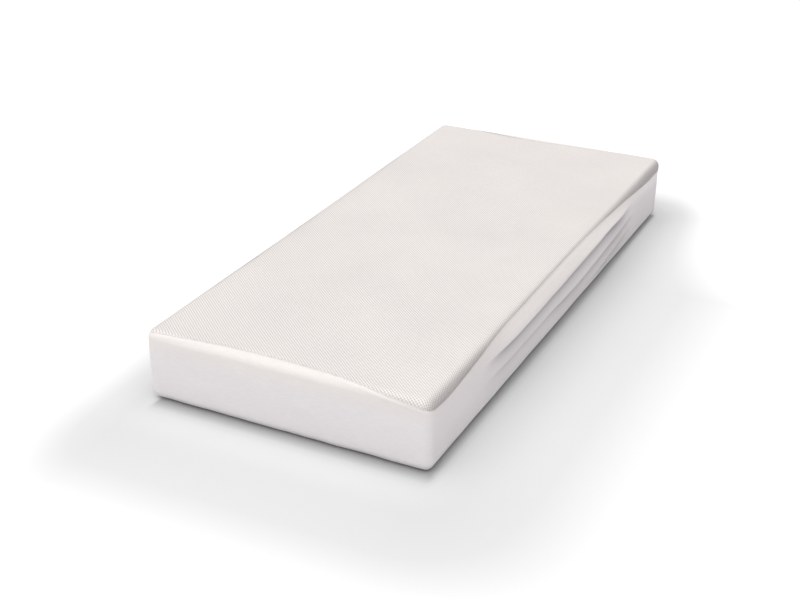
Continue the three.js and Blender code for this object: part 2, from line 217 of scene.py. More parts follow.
@dataclass(frozen=True)
class Stations:
    """Places round the outline.

    A straight one lies a share `along` its side, and a corner one a share `turn` round its corner.
    """

    side: Array
    along: Array
    turn: Array
    mark: Array
    """The place as a turn: 0 to 1 along the foot, then on round the right, the head and the left."""

    def outward(self) -> Array:
        """The unit vector out of the outline: the side's own, turned through the corner's share."""
        angle = (self.side - 1 + self.turn) * math.pi / 2
        return np.stack([np.cos(angle), np.sin(angle)], -1)

    def girth(self) -> Array:
        """Roughly how far round the outline each station lies, with every side at its mean length."""
        return self.mark * MEAN_SIDE


def stations(short_steps: int, long_steps: int, corner_steps: int) -> Stations:
    """Spaces stations evenly along the four sides and round the four corners.

    Args:
        short_steps: Steps along the foot and the head.
        long_steps: Steps along the left and the right.
        corner_steps: Steps round each corner.

    Returns:
        The stations, in order round the outline.
    """
    shares = (0.03, 0.013)  # half a corner's share of a short and of a long side's turn
    side, along, turn, mark = [], [], [], []
    for edge in Side:
        steps = (short_steps, long_steps)[edge % 2]
        here, after = shares[edge % 2], shares[(edge + 1) % 2]
        run = np.arange(1, steps) / steps
        bend = np.linspace(0, 1, corner_steps + 1)
        side.append(np.full(steps + corner_steps, int(edge)))
        along.append(np.concatenate([run, np.ones(corner_steps + 1)]))
        turn.append(np.concatenate([np.zeros(steps - 1), bend]))
        mark.append(
            np.concatenate([edge + here + run * (1 - 2 * here), edge + 1 - here + bend * (here + after)])
        )
    return Stations(*(np.concatenate(part) for part in (side, along, turn, mark)))


@dataclass(frozen=True)
class Groove:
    """The shallow groove round the underside, over which the base seam and the zip lie clear of the floor."""

    inset: float = 0.085
    crown: float = 0.010
    reach: float = 0.034

    def share(self, inset: Array) -> Array:
        """How much of the lift applies: 1 over the crown, easing along a half cosine to 0 at the reach."""
        away = (np.abs(inset - self.inset) - self.crown) / (self.reach - self.crown)
        return (1 + np.cos(math.pi * np.clip(away, 0, 1))) / 2


@dataclass(frozen=True)
class Form:
    """The mattress's outer shape, a box with rounded edges, and the line of the seam on it."""

    half_width: float
    half_length: float
    height: float
    top: float = 0.025
    bottom: float = 0.030
    upright: float = 0.026
    pinch: float = 0.003
    """The radius that a corner keeps where its rounding runs out."""
    pinch_reach: float = 0.014
    groove: Groove = field(default_factory=Groove)
    seam_knots: tuple[tuple[float, float], ...] = (
        (0.0, 0.016), (0.12, 0.009), (0.42, -0.009), (0.7, 0.005), (0.85, 0.023), (1.0, 0.042),
        (1.04, 0.050), (1.15, 0.038), (1.23, 0.026), (1.34, 0.023), (1.64, 0.023), (1.78, 0.034),
        (1.96, 0.058), (2.03, 0.052), (2.18, 0.020), (2.5, -0.006), (2.82, 0.014), (2.97, 0.046),
        (3.05, 0.050), (3.2, 0.022), (3.35, 0.012), (3.7, 0.010), (3.9, 0.020),
    )

    @property
    def arc_end(self) -> float:
        """The distance down the edge where the top arc meets the side."""
        return self.top * math.pi / 2

    @property
    def side_end(self) -> float:
        """The distance down the edge where the side meets the bottom arc."""
        return self.arc_end + self.height - self.top - self.bottom

    @property
    def under_start(self) -> float:
        """The distance down the edge where the bottom arc meets the underside."""
        return self.side_end + self.bottom * math.pi / 2

    def seam(self, mark: Array) -> Array:
        """The seam's distance down the edge at each mark, on a closed curve through its knots."""
        lap = tuple((m + 4 * k, d) for k in (-1, 0, 1) for m, d in self.seam_knots)
        return through(lap, np.mod(mark, 4.0))

    def corner(self, side: Array, turn: Array, inset: Array) -> Array:
        """A point on a corner's arc, whose centre lies in from the corner by the inset and the arc's radius.

        The radius shrinks with the inset, and a small one, `pinch` at most, eases away past the end of that.

        Args:
            side: The side that the corner ends.
            turn: The share of the corner's turn.
            inset: How far inside the outline the arc lies.

        Returns:
            The points, with x and y along a new last axis.
        """
        sign_x = np.where((side == Side.FOOT) | (side == Side.RIGHT), 1.0, -1.0)
        sign_y = np.where((side == Side.RIGHT) | (side == Side.HEAD), 1.0, -1.0)
        softened = np.clip(1 - ((inset - self.upright) / self.pinch_reach) ** 2, 0, 1) ** 2
        radius = np.maximum(self.upright - inset, 0.0) + self.pinch * softened
        angle = (side - 1 + turn) * math.pi / 2
        return np.stack(
            [
                sign_x * (self.half_width - inset - radius) + radius * np.cos(angle),
                sign_y * (self.half_length - inset - radius) + radius * np.sin(angle),
            ],
            -1,
        )

    def ring(self, at: Stations, inset: Array) -> Array:
        """The plan position of each station on the rounded rectangle that lies `inset` inside the outline.

        Args:
            at: The stations, along the last axis of inset.
            inset: How far inside the outline each point lies.

        Returns:
            The points, with x and y along a new last axis.
        """
        before = self.corner((at.side + 3) % 4, np.ones_like(at.turn), inset)
        here = self.corner(at.side, at.turn, inset)
        along = at.along[..., None]
        return before * (1 - along) + here * along

    def outline(self, at: Stations) -> Array:
        """The plan position of each station on the outline itself."""
        return self.ring(at, np.zeros(len(at.mark)))

    def edge(self, down: Array) -> tuple[Array, Array, Array, Array]:
        """The section over the edge: flat top, quarter circle, plumb side, quarter circle, flat underside.

        Args:
            down: The distance down the section from the start of the top arc, negative on the flat top.

        Returns:
            The inset and height of each point, and the outward and upward parts of the surface's normal.
        """
        top = np.clip(down / self.top, 0, math.pi / 2)
        low = np.clip((down - self.side_end) / self.bottom, 0, math.pi / 2)
        inset = self.top * (1 - np.sin(top)) + self.bottom * (1 - np.cos(low))
        inset = inset + np.maximum(-down, 0) + np.maximum(down - self.under_start, 0)
        fall = np.clip(down, self.arc_end, self.side_end) - self.arc_end
        z = self.height - self.top * (1 - np.cos(top)) - fall - self.bottom * np.sin(low)
        outward = np.where(down < self.side_end, np.sin(top), np.cos(low))
        upward = np.where(down < self.side_end, np.cos(top), -np.sin(low))
        return inset, z, outward, upward

    def place(self, at: Stations, down: Array, push: Array | float = 0.0, lift: float = 0.0) -> Array:
        """Points on the box, each pushed out along the surface's normal and raised over the groove.

        Args:
            at: The stations, along the last axis of down.
            down: The distance of each point down the edge.
            push: How far each point moves out along the normal, negative for in.
            lift: How far the underside rises at the groove's crown.

        Returns:
            The points, with x, y and z along a new last axis.
        """
        inset, z, outward, upward = self.edge(down)
        under = self.groove.share(inset) * (down > self.under_start)
        plan = self.ring(at, inset - push * outward)
        return np.concatenate([plan, (z + push * upward + lift * under)[..., None]], -1)

    def unrolled(self, at: Stations, down: Array) -> Array:
        """Where a point lay on the flat panel: out from the flat's own edge by its distance down."""
        edge = self.ring(at, np.maximum(self.top, self.top - down))
        return edge + at.outward() * np.maximum(down, 0)[..., None]


# --------------------------------------------------------------------------------------------------
# Meshes from grids
# --------------------------------------------------------------------------------------------------


@dataclass
class Grid:
    """A rectangular grid of points with a UV for each, either way of which may close on itself."""

    points: Array
    uv: Array
    wrap_rows: bool = False
    wrap_columns: bool = False
    uv_turn: tuple[float, float] = (0.0, 0.0)
    """How far the UV has moved on when the columns come round to their start."""
    shade: Array | None = None
    # The painted shade at each point, from 0 to 1, which darkens the finish's colour.
    """How deep in a crease each point lies, from 0 to 1."""

    def quads(self) -> tuple[Array, Array]:
        """Numbers the vertices and slices the grid of numbers against itself.

        Returns:
            Each patch's four vertex numbers and its four UVs.
        """
        rows, columns = self.points.shape[:2]
        index = np.arange(rows * columns).reshape(rows, columns)
        uv = self.uv
        if self.wrap_columns:
            index = np.concatenate([index, index[:, :1]], 1)
            uv = np.concatenate([uv, uv[:, :1] + np.array(self.uv_turn)], 1)
        if self.wrap_rows:
            index = np.concatenate([index, index[:1]])
            uv = np.concatenate([uv, uv[:1]])

        def patches(a: Array) -> Array:
            """The four corners of every patch of a grid, in order round it."""
            return np.stack([a[:-1, :-1], a[1:, :-1], a[1:, 1:], a[:-1, 1:]], 2)

        return patches(index).reshape(-1, 4), patches(uv).reshape(-1, 4, 2)


def weld(name: str, grids: list[Grid], near: float = 1e-6) -> bpy.types.Object:
    """Makes one object of several grids, joins their shared edges and turns every face outwards.

    Args:
        name: The piece's name.
        grids: The grids, in any order.
        near: Points closer than this become one.

    Returns:
        The object, smooth shaded and linked to the scene.
    """
    points, quads, uvs, shades, first = [], [], [], [], 0
    for grid in grids:
        index, uv = grid.quads()
        points.append(grid.points.reshape(-1, 3))
        shades.append(np.zeros(len(points[-1])) if grid.shade is None else grid.shade.ravel())
        quads.append(index + first)
        uvs.append(uv)
        first += len(points[-1])
    points, quads, uvs = np.concatenate(points), np.concatenate(quads), np.concatenate(uvs)
    mesh = bpy.data.meshes.new(name)
    mesh.vertices.add(len(points))
    mesh.vertices.foreach_set("co", points.astype(np.float32).ravel())
    mesh.loops.add(quads.size)
    mesh.loops.foreach_set("vertex_index", quads.astype(np.int32).ravel())
    mesh.polygons.add(len(quads))
    mesh.polygons.foreach_set("loop_start", np.arange(0, quads.size, 4, dtype=np.int32))
    mesh.polygons.foreach_set("use_smooth", np.ones(len(quads), bool))
    mesh.update(calc_edges=True)
    mesh.uv_layers.new(name="UVMap").data.foreach_set("uv", uvs.astype(np.float32).ravel())
    # Each point's painted shade, kept on the mesh for the finishes.
    shade = mesh.attributes.new(SHADE, "FLOAT", "POINT")
    shade.data.foreach_set("value", np.concatenate(shades).astype(np.float32))
    work = bmesh.new()
    work.from_mesh(mesh)
    bmesh.ops.remove_doubles(work, verts=work.verts, dist=near)
    bmesh.ops.dissolve_degenerate(work, edges=work.edges, dist=near / 10)
    bmesh.ops.recalc_face_normals(work, faces=work.faces)
    work.to_mesh(mesh)
    work.free()
    mesh.update()
    piece = bpy.data.objects.new(name, mesh)
    bpy.context.scene.collection.objects.link(piece)
    return piece


def tube(path: Array, across: Array, up: Array, radius: Array | float, sides: int, closed: bool) -> Grid:
    """A round tube: a circle of the given radius in the plane of two directions, at every point of a path.

    Args:
        path: The centre line, N by 3.
        across: The circle's first direction at each point, N by 3.
        up: Its second direction, N by 3.
        radius: The radius, one value or one for each point.
        sides: How many points the circle has.
        closed: Whether the path closes on itself.

    Returns:
        The tube's grid, whose UV is the distance along it and round it.
    """
    angle = np.arange(sides) / sides * TAU
    radius = np.broadcast_to(radius, len(path))
    circle = np.cos(angle)[:, None, None] * across + np.sin(angle)[:, None, None] * up
    points = path + circle * radius[None, :, None]
    length = run_length(path)
    uv = np.stack(np.broadcast_arrays(length[None, :], (angle * radius.mean())[:, None]), -1)
    whole = length[-1] * len(path) / (len(path) - 1)
    return Grid(points, uv, wrap_rows=True, wrap_columns=closed, uv_turn=(whole, 0.0))


def capped(grid: Grid) -> Grid:
    """Closes a tube: a new column at each end is drawn in to the middle of the end circle.

    Args:
        grid: The tube, whose columns run along it.

    Returns:
        The same tube with the two new columns.
    """
    first, last = (grid.points[:, k].mean(0, keepdims=True).repeat(len(grid.points), 0) for k in (0, -1))
    points = np.concatenate([first[:, None], grid.points, last[:, None]], 1)
    uv = np.concatenate([grid.uv[:, :1], grid.uv, grid.uv[:, -1:]], 1)
    return Grid(points, uv, wrap_rows=grid.wrap_rows)


# --------------------------------------------------------------------------------------------------
# Finishes
# --------------------------------------------------------------------------------------------------


class Nodes:
    """A material's node tree with short ways to add the few kinds of node that the finishes use."""

    def __init__(self, name: str) -> None:
        """Starts a material that holds a Principled shader and nothing else.

        Args:
            name: The material's name.
        """
        self.material = bpy.data.materials.new(name)
        self.material.use_nodes = True
        self.tree = self.material.node_tree
        self.tree.nodes.clear()
        self.shader = self.tree.nodes.new("ShaderNodeBsdfPrincipled")
        output = self.tree.nodes.new("ShaderNodeOutputMaterial")
        self.link(self.shader.outputs["BSDF"], output.inputs["Surface"])

    def link(self, source: Socket, target: Socket) -> None:
        """Joins an output to an input."""
        self.tree.links.new(source, target)

    def feed(self, target: Socket, value: object) -> None:
        """Links a socket to an input, or sets a plain value on it.

        Args:
            target: The input.
            value: A socket, a number or a tuple.
        """
        if isinstance(value, Socket):
            self.link(value, target)
        else:
            target.default_value = value

    def fill(self, kind: str, operation: str, values: tuple[object, ...]) -> bpy.types.Node:
        """Adds a Math or Vector Math node and feeds its inputs in order.

        Args:
            kind: The node's type.
            operation: What it does.
            values: Its inputs, as sockets or plain values.

        Returns:
            The node.
        """
        node = self.tree.nodes.new(kind)
        node.operation = operation
        for target, value in zip(node.inputs, values):
            self.feed(target, value)
        return node

    def sums(self, operation: str, *values: object) -> Socket:
        """One Math node over sockets or numbers."""
        return self.fill("ShaderNodeMath", operation, values).outputs[0]

    def vectors(self, operation: str, *values: object) -> Socket:
        """One Vector Math node over sockets or triples, and its value where the result is one number."""
        node = self.fill("ShaderNodeVectorMath", operation, values)
        return node.outputs["Value" if operation == "LENGTH" else "Vector"]

    def place(self, uv: bool, scale: tuple[float, float, float] = (1, 1, 1)) -> Socket:
        """UV or Object coordinates, scaled by a Mapping node.

        Args:
            uv: Whether to take the UV map rather than Object coordinates.
            scale: The scale along each axis.

        Returns:
            The coordinates.
        """
        source = self.tree.nodes.new("ShaderNodeTexCoord")
        mapping = self.tree.nodes.new("ShaderNodeMapping")
        mapping.inputs["Scale"].default_value = scale
        self.link(source.outputs["UV" if uv else "Object"], mapping.inputs["Vector"])
        return mapping.outputs["Vector"]

    def axes(self, vector: Socket) -> tuple[Socket, Socket]:
        """Splits a vector.

        Args:
            vector: The vector.

        Returns:
            Its X and its Y.
        """
        split = self.tree.nodes.new("ShaderNodeSeparateXYZ")
        self.link(vector, split.inputs[0])
        return split.outputs["X"], split.outputs["Y"]

    def noise(self, vector: Socket, scale: float, detail: float = 3, rough: float = 0.5) -> Socket:
        """A Noise texture.

        Args:
            vector: Where to read it.
            scale: Its size, as cycles to the unit.
            detail: How many finer layers it has.
            rough: How strong the finer layers are.

        Returns:
            Its value, from 0 to 1.
        """
        node = self.tree.nodes.new("ShaderNodeTexNoise")
        node.inputs["Scale"].default_value = scale
        node.inputs["Detail"].default_value = detail
        node.inputs["Roughness"].default_value = rough
        self.link(vector, node.inputs["Vector"])
        return node.outputs["Fac"]

    def cells(self, vector: Socket, scale: float) -> Socket:
        """A Voronoi texture.

        Args:
            vector: Where to read it.
            scale: How many cells it has to the unit.

        Returns:
            The distance to the nearest cell's middle.
        """
        node = self.tree.nodes.new("ShaderNodeTexVoronoi")
        node.inputs["Scale"].default_value = scale
        self.link(vector, node.inputs["Vector"])
        return node.outputs["Distance"]

    def ramp(self, value: Socket, low: Rgb, high: Rgb, start: float = 0.0, end: float = 1.0) -> Socket:
        """A ramp between two colours.

        Args:
            value: The value that picks the colour.
            low: The colour up to the start.
            high: The colour from the end on.
            start: Where the ramp starts.
            end: Where it ends.

        Returns:
            The colour.
        """
        node = self.tree.nodes.new("ShaderNodeValToRGB")
        first, last = node.color_ramp.elements
        first.position, last.position = start, end
        first.color, last.color = (*low, 1), (*high, 1)
        self.link(value, node.inputs["Fac"])
        return node.outputs["Color"]

    def span(self, value: Socket, low: float, high: float) -> Socket:
        """Stretches a value.

        Args:
            value: The value, from 0 to 1.
            low: What 0 becomes.
            high: What 1 becomes.

        Returns:
            The stretched value.
        """
        node = self.tree.nodes.new("ShaderNodeMapRange")
        node.inputs["To Min"].default_value = low
        node.inputs["To Max"].default_value = high
        self.link(value, node.inputs["Value"])
        return node.outputs["Result"]

    def bump(
        self, height: Socket, distance: float, strength: float = 1.0, under: Socket | None = None
    ) -> Socket:
        """A Bump node.

        Args:
            height: The height, from 0 to 1.
            distance: How far a height of 1 stands up.
            strength: How much of the bump applies.
            under: The normal of a coarser bump to lay it over.

        Returns:
            The normal.
        """
        node = self.tree.nodes.new("ShaderNodeBump")
        node.inputs["Distance"].default_value = distance
        node.inputs["Strength"].default_value = strength
        self.link(height, node.inputs["Height"])
        if under is not None:
            self.link(under, node.inputs["Normal"])
        return node.outputs["Normal"]

    def multiplied(self, colour: Socket, tint: object, factor: object = 1.0) -> Socket:
        """Multiplies one colour by another.

        Args:
            colour: The first colour.
            tint: The second, as a socket or four numbers.
            factor: How much of the tint applies.

        Returns:
            The product.
        """
        mix = self.tree.nodes.new("ShaderNodeMix")
        mix.data_type = "RGBA"
        mix.blend_type = "MULTIPLY"
        self.feed(mix.inputs["Factor"], factor)
        self.feed(mix.inputs["A"], colour)
        self.feed(mix.inputs["B"], tint)
        return mix.outputs["Result"]

    def with_painted_shade(self, colour: Socket, depth: float) -> Socket:
        """Darkens a colour by the mesh's own shade attribute: painted shade in the creases and on the shaded
        sides.

        Args:
            colour: The colour.
            depth: How much darker it is where the shade is 1.

        Returns:
            The darkened colour, a trace warmer and pinker than the plain one.
        """
        attribute = self.tree.nodes.new("ShaderNodeAttribute")
        attribute.attribute_name = SHADE
        tint = (1 - depth, 1 - depth * 1.05, 1 - depth, 1)
        return self.multiplied(colour, tint, attribute.outputs["Fac"])

    def dress(self, **sockets: object) -> bpy.types.Material:
        """Feeds the Principled shader's inputs.

        Args:
            sockets: A socket, number or colour for each input, whose name has _ for each space.

        Returns:
            The material.
        """
        for name, value in sockets.items():
            if isinstance(value, tuple) and len(value) == 3:
                value = (*value, 1.0)
            self.feed(self.shader.inputs[name.replace("_", " ")], value)
        return self.material


@dataclass(frozen=True)
class ReliefKnit:
    """The top panel's knit: raised stitches where two diagonals cross, with sunken grey gaps between.

    The rise is the weighted mean of two cosines along the diagonals, `across` cycles to the metre one way and
    `along` the other, so the stitches stand in staggered rows. One diagonal stands prouder than the other.
    """

    across: float = 92.0
    along: float = 107.0
    prouder: float = 0.62
    gap: Rgb = (0.62, 0.585, 0.575)
    stitch: Rgb = (0.945, 0.910, 0.90)
    blotch: Rgb = (0.955, 0.955, 0.96)
    relief: float = 0.0011
    # How much darker the painted shade makes the colour where it is full.
    crease: float = 0.45

    def material(self) -> bpy.types.Material:
        """Builds the finish.

        Returns:
            The material.
        """
        n = Nodes("relief_knit")
        u, v = n.axes(n.place(uv=True))
        x = n.sums("MULTIPLY", u, TAU * self.across)
        y = n.sums("MULTIPLY", v, TAU * self.along)
        first = n.sums("MULTIPLY", n.sums("COSINE", n.sums("ADD", x, y)), self.prouder / 2)
        second = n.sums("MULTIPLY", n.sums("COSINE", n.sums("SUBTRACT", x, y)), (1 - self.prouder) / 2)
        rise = n.sums("ADD", n.sums("ADD", first, second), 0.5)
        yarn = n.noise(n.place(uv=True, scale=(1, 2, 1)), 900, 2)
        colour = n.ramp(rise, self.gap, self.stitch, 0.12, 0.8)
        blotch = n.noise(n.place(uv=True), 3.0, 4, 0.6)
        tone = n.multiplied(colour, n.ramp(blotch, self.blotch, (1, 1, 1), 0.35, 0.65))
        normal = n.bump(yarn, 0.0002, 0.6, under=n.bump(rise, self.relief))
        return n.dress(
            Base_Color=n.with_painted_shade(tone, self.crease),
            Roughness=n.span(rise, 0.95, 0.8),
            Normal=normal,
            Specular_IOR_Level=0.2,
            Sheen_Weight=0.15,
            Sheen_Roughness=0.5,
        )


@dataclass(frozen=True)
class PlainKnit:
    """A fine jersey: ribs of `wale` cycles to the metre round the piece, faint slubs and a soft nap.

    Near its upper edge, up to `upper_end` down from where its UV starts, the colour is tinted warmer: painted
    warm light, as where the cloth turns up towards the lamp.
    """

    name: str
    low: Rgb
    high: Rgb
    wale: float = 820.0
    relief: float = 0.00022
    # The painted warm light's tint near the upper edge.
    painted_warm_light: Rgb = (1.01, 1.0, 0.965)
    upper_end: tuple[float, float] = (0.05, 0.09)
    # How much darker the painted shade makes the colour where it is full.
    crease: float = 0.5

    def material(self) -> bpy.types.Material:
        """Builds the finish.

        Returns:
            The material.
        """
        n = Nodes(self.name)
        u, v = n.axes(n.place(uv=True))
        wales = n.sums("SINE", n.sums("MULTIPLY", u, TAU * self.wale))
        courses = n.sums("SINE", n.sums("MULTIPLY", v, TAU * self.wale * 0.7))
        loops = n.sums("ADD", n.sums("MULTIPLY", n.sums("ADD", wales, courses), 0.25), 0.5)
        slub = n.noise(n.place(uv=True, scale=(1, 5, 1)), 40, 4, 0.6)
        plain = n.ramp(slub, self.low, self.high, 0.3, 0.7)
        # Painted warm light near the upper edge.
        colour = n.multiplied(plain, n.ramp(v, self.painted_warm_light, (1, 1, 1), *self.upper_end))
        normal = n.bump(loops, self.relief, 0.6, under=n.bump(slub, 0.0005, 0.4))
        return n.dress(
            Base_Color=n.with_painted_shade(colour, self.crease),
            Roughness=n.span(loops, 0.88, 0.76),
            Normal=normal,
            Specular_IOR_Level=0.25,
            Sheen_Weight=0.25,
            Sheen_Roughness=0.4,
        )


@dataclass(frozen=True)
class Woven:
    """A plain weave: two sets of threads that pass over and under each other, `threads` to the metre."""

    name: str
    low: Rgb
    high: Rgb
    threads: float = 500.0
    relief: float = 0.0003
    roughness: float = 0.8

    def material(self) -> bpy.types.Material:
        """Builds the finish.

        Returns:
            The material.
        """
        n = Nodes(self.name)
        u, v = n.axes(n.place(uv=True))
        warp = n.sums("SINE", n.sums("MULTIPLY", u, TAU * self.threads / 2))
        weft = n.sums("SINE", n.sums("MULTIPLY", v, TAU * self.threads / 2))
        over = n.sums("ADD", n.sums("MULTIPLY", n.sums("MULTIPLY", warp, weft), 0.5), 0.5)
        slub = n.noise(n.place(uv=True, scale=(1, 6, 1)), 60, 3)
        mixed = n.sums("ADD", n.sums("MULTIPLY", over, 0.5), n.sums("MULTIPLY", slub, 0.5))
        colour = n.ramp(mixed, self.low, self.high)
        return n.dress(
            Base_Color=colour,
            Roughness=n.span(over, self.roughness, self.roughness - 0.12),
            Normal=n.bump(over, self.relief, 0.8),
            Specular_IOR_Level=0.3,
            Sheen_Weight=0.1,
        )


@dataclass(frozen=True)
class OpenCellFoam:
    """Cut foam: small open cells of mixed size, with a faint mottling of the colour."""

    name: str
    pit: Rgb
    skin: Rgb
    cells: float = 420.0
    relief: float = 0.0006

    def material(self) -> bpy.types.Material:
        """Builds the finish.

        Returns:
            The material.
        """
        n = Nodes(self.name)
        at = n.place(uv=False)
        pores = n.cells(at, self.cells)
        coarse = n.cells(at, self.cells / 3)
        depth = n.sums("MULTIPLY", n.sums("ADD", pores, n.sums("MULTIPLY", coarse, 0.5)), 0.8)
        mottle = n.noise(at, 14, 3)
        mixed = n.sums("MULTIPLY", n.sums("ADD", depth, mottle), 0.62)
        colour = n.ramp(mixed, self.pit, self.skin, 0.2, 0.75)
        return n.dress(
            Base_Color=colour,
            Roughness=n.span(mottle, 0.98, 0.88),
            Normal=n.bump(depth, self.relief, 0.8),
            Specular_IOR_Level=0.15,
        )


@dataclass(frozen=True)
class PlatedMetal:
    """Tumbled nickel plate on a zinc casting: fine scratches and slightly dulled patches."""

    name: str = "plated_metal"
    dull: Rgb = (0.44, 0.44, 0.45)
    bright: Rgb = (0.66, 0.66, 0.67)

    def material(self) -> bpy.types.Material:
        """Builds the finish.

        Returns:
            The material.
        """
        n = Nodes(self.name)
        at = n.place(uv=False)
        patch = n.noise(at, 240, 4)
        scratch = n.noise(n.place(uv=False, scale=(0.15, 1, 1)), 3200, 2)
        return n.dress(
            Base_Color=n.ramp(patch, self.dull, self.bright, 0.35, 0.7),
            Roughness=n.span(patch, 0.42, 0.24),
            Normal=n.bump(scratch, 0.00004, 0.5),
            Metallic=1.0,
        )


@dataclass(frozen=True)
class Nylon:
    """Translucent-looking white monofilament with a soft gloss and faint draw lines."""

    name: str = "zip_nylon"
    low: Rgb = (0.80, 0.80, 0.80)
    high: Rgb = (0.90, 0.90, 0.90)

    def material(self) -> bpy.types.Material:
        """Builds the finish.

        Returns:
            The material.
        """
        n = Nodes(self.name)
        streak = n.noise(n.place(uv=False, scale=(1, 0.2, 1)), 900, 2)
        return n.dress(
            Base_Color=n.ramp(streak, self.low, self.high, 0.3, 0.7),
            Roughness=n.span(streak, 0.45, 0.3),
            Normal=n.bump(streak, 0.00003, 0.4),
            Specular_IOR_Level=0.5,
        )


class Finishes:
    """Every finish, built once and shared by the pieces that wear it."""

    def __init__(self) -> None:
        """Builds the finishes."""
        self.relief_knit = ReliefKnit().material()
        self.skirt_knit = PlainKnit("skirt_knit", (0.815, 0.785, 0.805), (0.855, 0.823, 0.845)).material()
        self.sleeve_knit = PlainKnit(
            "sleeve_knit", (0.80, 0.775, 0.72), (0.88, 0.86, 0.81), wale=420.0, relief=0.0005
        ).material()
        self.base_weave = Woven("base_weave", (0.60, 0.60, 0.61), (0.74, 0.74, 0.75)).material()
        self.seam_tape = Woven("seam_tape", (0.70, 0.69, 0.69), (0.84, 0.83, 0.83), 900.0, 0.0002).material()
        self.zip_tape = Woven("zip_tape", (0.70, 0.70, 0.70), (0.84, 0.84, 0.84), 1300.0, 0.00015).material()
        self.label_satin = Woven(
            "label_satin", (0.84, 0.84, 0.83), (0.95, 0.95, 0.94), 2200.0, 0.00006, 0.45
        ).material()
        self.thread = Woven("thread", (0.72, 0.70, 0.69), (0.88, 0.86, 0.85), 3000.0, 0.0001, 0.6).material()
        self.memory_foam = OpenCellFoam("memory_foam", (0.72, 0.66, 0.50), (0.90, 0.85, 0.68)).material()
        self.transition_foam = OpenCellFoam(
            "transition_foam", (0.46, 0.60, 0.72), (0.67, 0.79, 0.88), cells=320.0
        ).material()
        self.support_foam = OpenCellFoam(
            "support_foam", (0.66, 0.66, 0.64), (0.86, 0.86, 0.84), cells=260.0
        ).material()
        self.metal = PlatedMetal().material()
        self.nylon = Nylon().material()


# --------------------------------------------------------------------------------------------------
# What every piece shares
# --------------------------------------------------------------------------------------------------


@dataclass
class Workshop:
    """The shape, the finishes and the rows of stations that the pieces are cut from."""

    form: Form
    finishes: Finishes
    fine: Stations
    plain: Stations
    fine_steps: tuple[int, int]
    plain_steps: tuple[int, int]

    def finish(
        self, piece: bpy.types.Object, material: bpy.types.Material, slot: str, body: str, *nodes: str
    ) -> None:
        """Gives a piece its finish and its body, and hides the CAD nodes that it stands for.

        Args:
            piece: The finished object.
            material: The finish it wears.
            slot: Not used.
            body: The CAD body that it rides on.
            nodes: The CAD nodes that it replaces.
        """
        piece.data.materials.clear()
        piece.data.materials.append(material)
        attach(piece, body)
        if nodes:
            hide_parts(*nodes)
        LOG.info("%s: %d faces, for %s", piece.name, len(piece.data.polygons), ", ".join(nodes) or "detail")

    def path(self, at: Stations, down: Array, push: float) -> tuple[Array, Array, Array]:
        """A closed line on the box with two directions square to it.

        Args:
            at: The stations it passes.
            down: Its distance down the edge at each.
            push: How far out of the surface it runs.

        Returns:
            The line, the direction out of the surface and the direction across the surface, each N by 3.
        """
        line = self.form.place(at, down, push)
        _, _, outward, upward = self.form.edge(down)
        out = np.concatenate([at.outward() * outward[:, None], upward[:, None]], 1)
        ahead = np.roll(line, -1, 0) - np.roll(line, 1, 0)
        across = np.cross(ahead / np.linalg.norm(ahead, axis=1)[:, None], out)
        return line, out, across / np.linalg.norm(across, axis=1)[:, None]


def flat_grid(form: Form, steps: tuple[int, int], inset: float, z: Array | float) -> Grid:
    """An even grid over the rectangle that lies `inset` inside the outline, at a height or heights.

    Args:
        form: The mattress's shape.
        steps: Steps across the width and along the length.
        inset: How far inside the outline the rectangle's sides lie.
        z: The height, one value or a grid of them.

    Returns:
        The grid, whose UV is its own x and y.
    """
    x = np.linspace(-1, 1, steps[0] + 1) * (form.half_width - inset)
    y = np.linspace(-1, 1, steps[1] + 1) * (form.half_length - inset)
    plan = np.stack(np.meshgrid(x, y, indexing="ij"), -1)
    height = np.broadcast_to(z, plan.shape[:2])
    return Grid(np.concatenate([plan, height[..., None]], -1), plan)


# --------------------------------------------------------------------------------------------------
# The cover
# --------------------------------------------------------------------------------------------------


@dataclass(frozen=True)
class Fold:
    """A long slack fold on a side: the cloth above hangs out over a crease, the cloth below starts tucked in.

    Above the crease the cloth stands out by `lip`, falling away as exp(-t/rise) at a height t over it. Below,
    it starts `tuck` in and comes back as exp(-t/recover). A logistic step `edge` wide joins the two, and the
    lip droops by `droop` over the crease, falling away as exp(-t/hem).
    """

    side: Side
    line: tuple[tuple[float, float], ...]
    lip: float = 0.010
    tuck: float = 0.005
    rise: float = 0.045
    droop: float = 0.008
    recover: float = 0.035
    edge: float = 0.0022
    hem: float = 0.010
    fade: float = 0.25
    hidden: float = 1.1
    # How far below the crease the full painted shade reaches, as a share of the lip.
    """How far below the crease the full shade reaches, as a share of the lip."""
    shade_reach: float = 0.018
    full_lip: float = 0.012
    # The lip from which the painted shade has its full strength.
    """The lip from which the shade has its full strength."""

    def move(self, side: Array, place: Array, z: Array) -> tuple[Array, Array, Array]:
        """How far the fold moves each point, and the painted shade in its crease.

        Args:
            side: Each point's side, or -1 round a corner.
            place: Its place along the side.
            z: Its height.

        Returns:
            The push out of the side, the distance down and the painted shade in the crease.
        """
        start, end = self.line[0][0], self.line[-1][0]
        over = z - through(self.line, place)
        step = 1 / (1 + np.exp(-np.clip(over / self.edge, -40, 40)))
        above = self.lip * np.exp(-np.maximum(over, 0) / self.rise)
        below = -self.tuck * np.exp(-np.maximum(-over, 0) / self.recover)
        weight = window(place, start, end, self.fade) * (side == self.side)
        drop = self.droop * np.exp(-np.maximum(over, 0) / self.hem) * step
        # Painted shade in the crease: full just under the lip, fading further down.
        behind = np.maximum(-over - self.hidden * self.lip, 0)
        shade = (1 - step) * np.exp(-behind / self.shade_reach) * min(1.0, self.lip / self.full_lip)
        return (above * step + below * (1 - step)) * weight, drop * weight, shade * weight


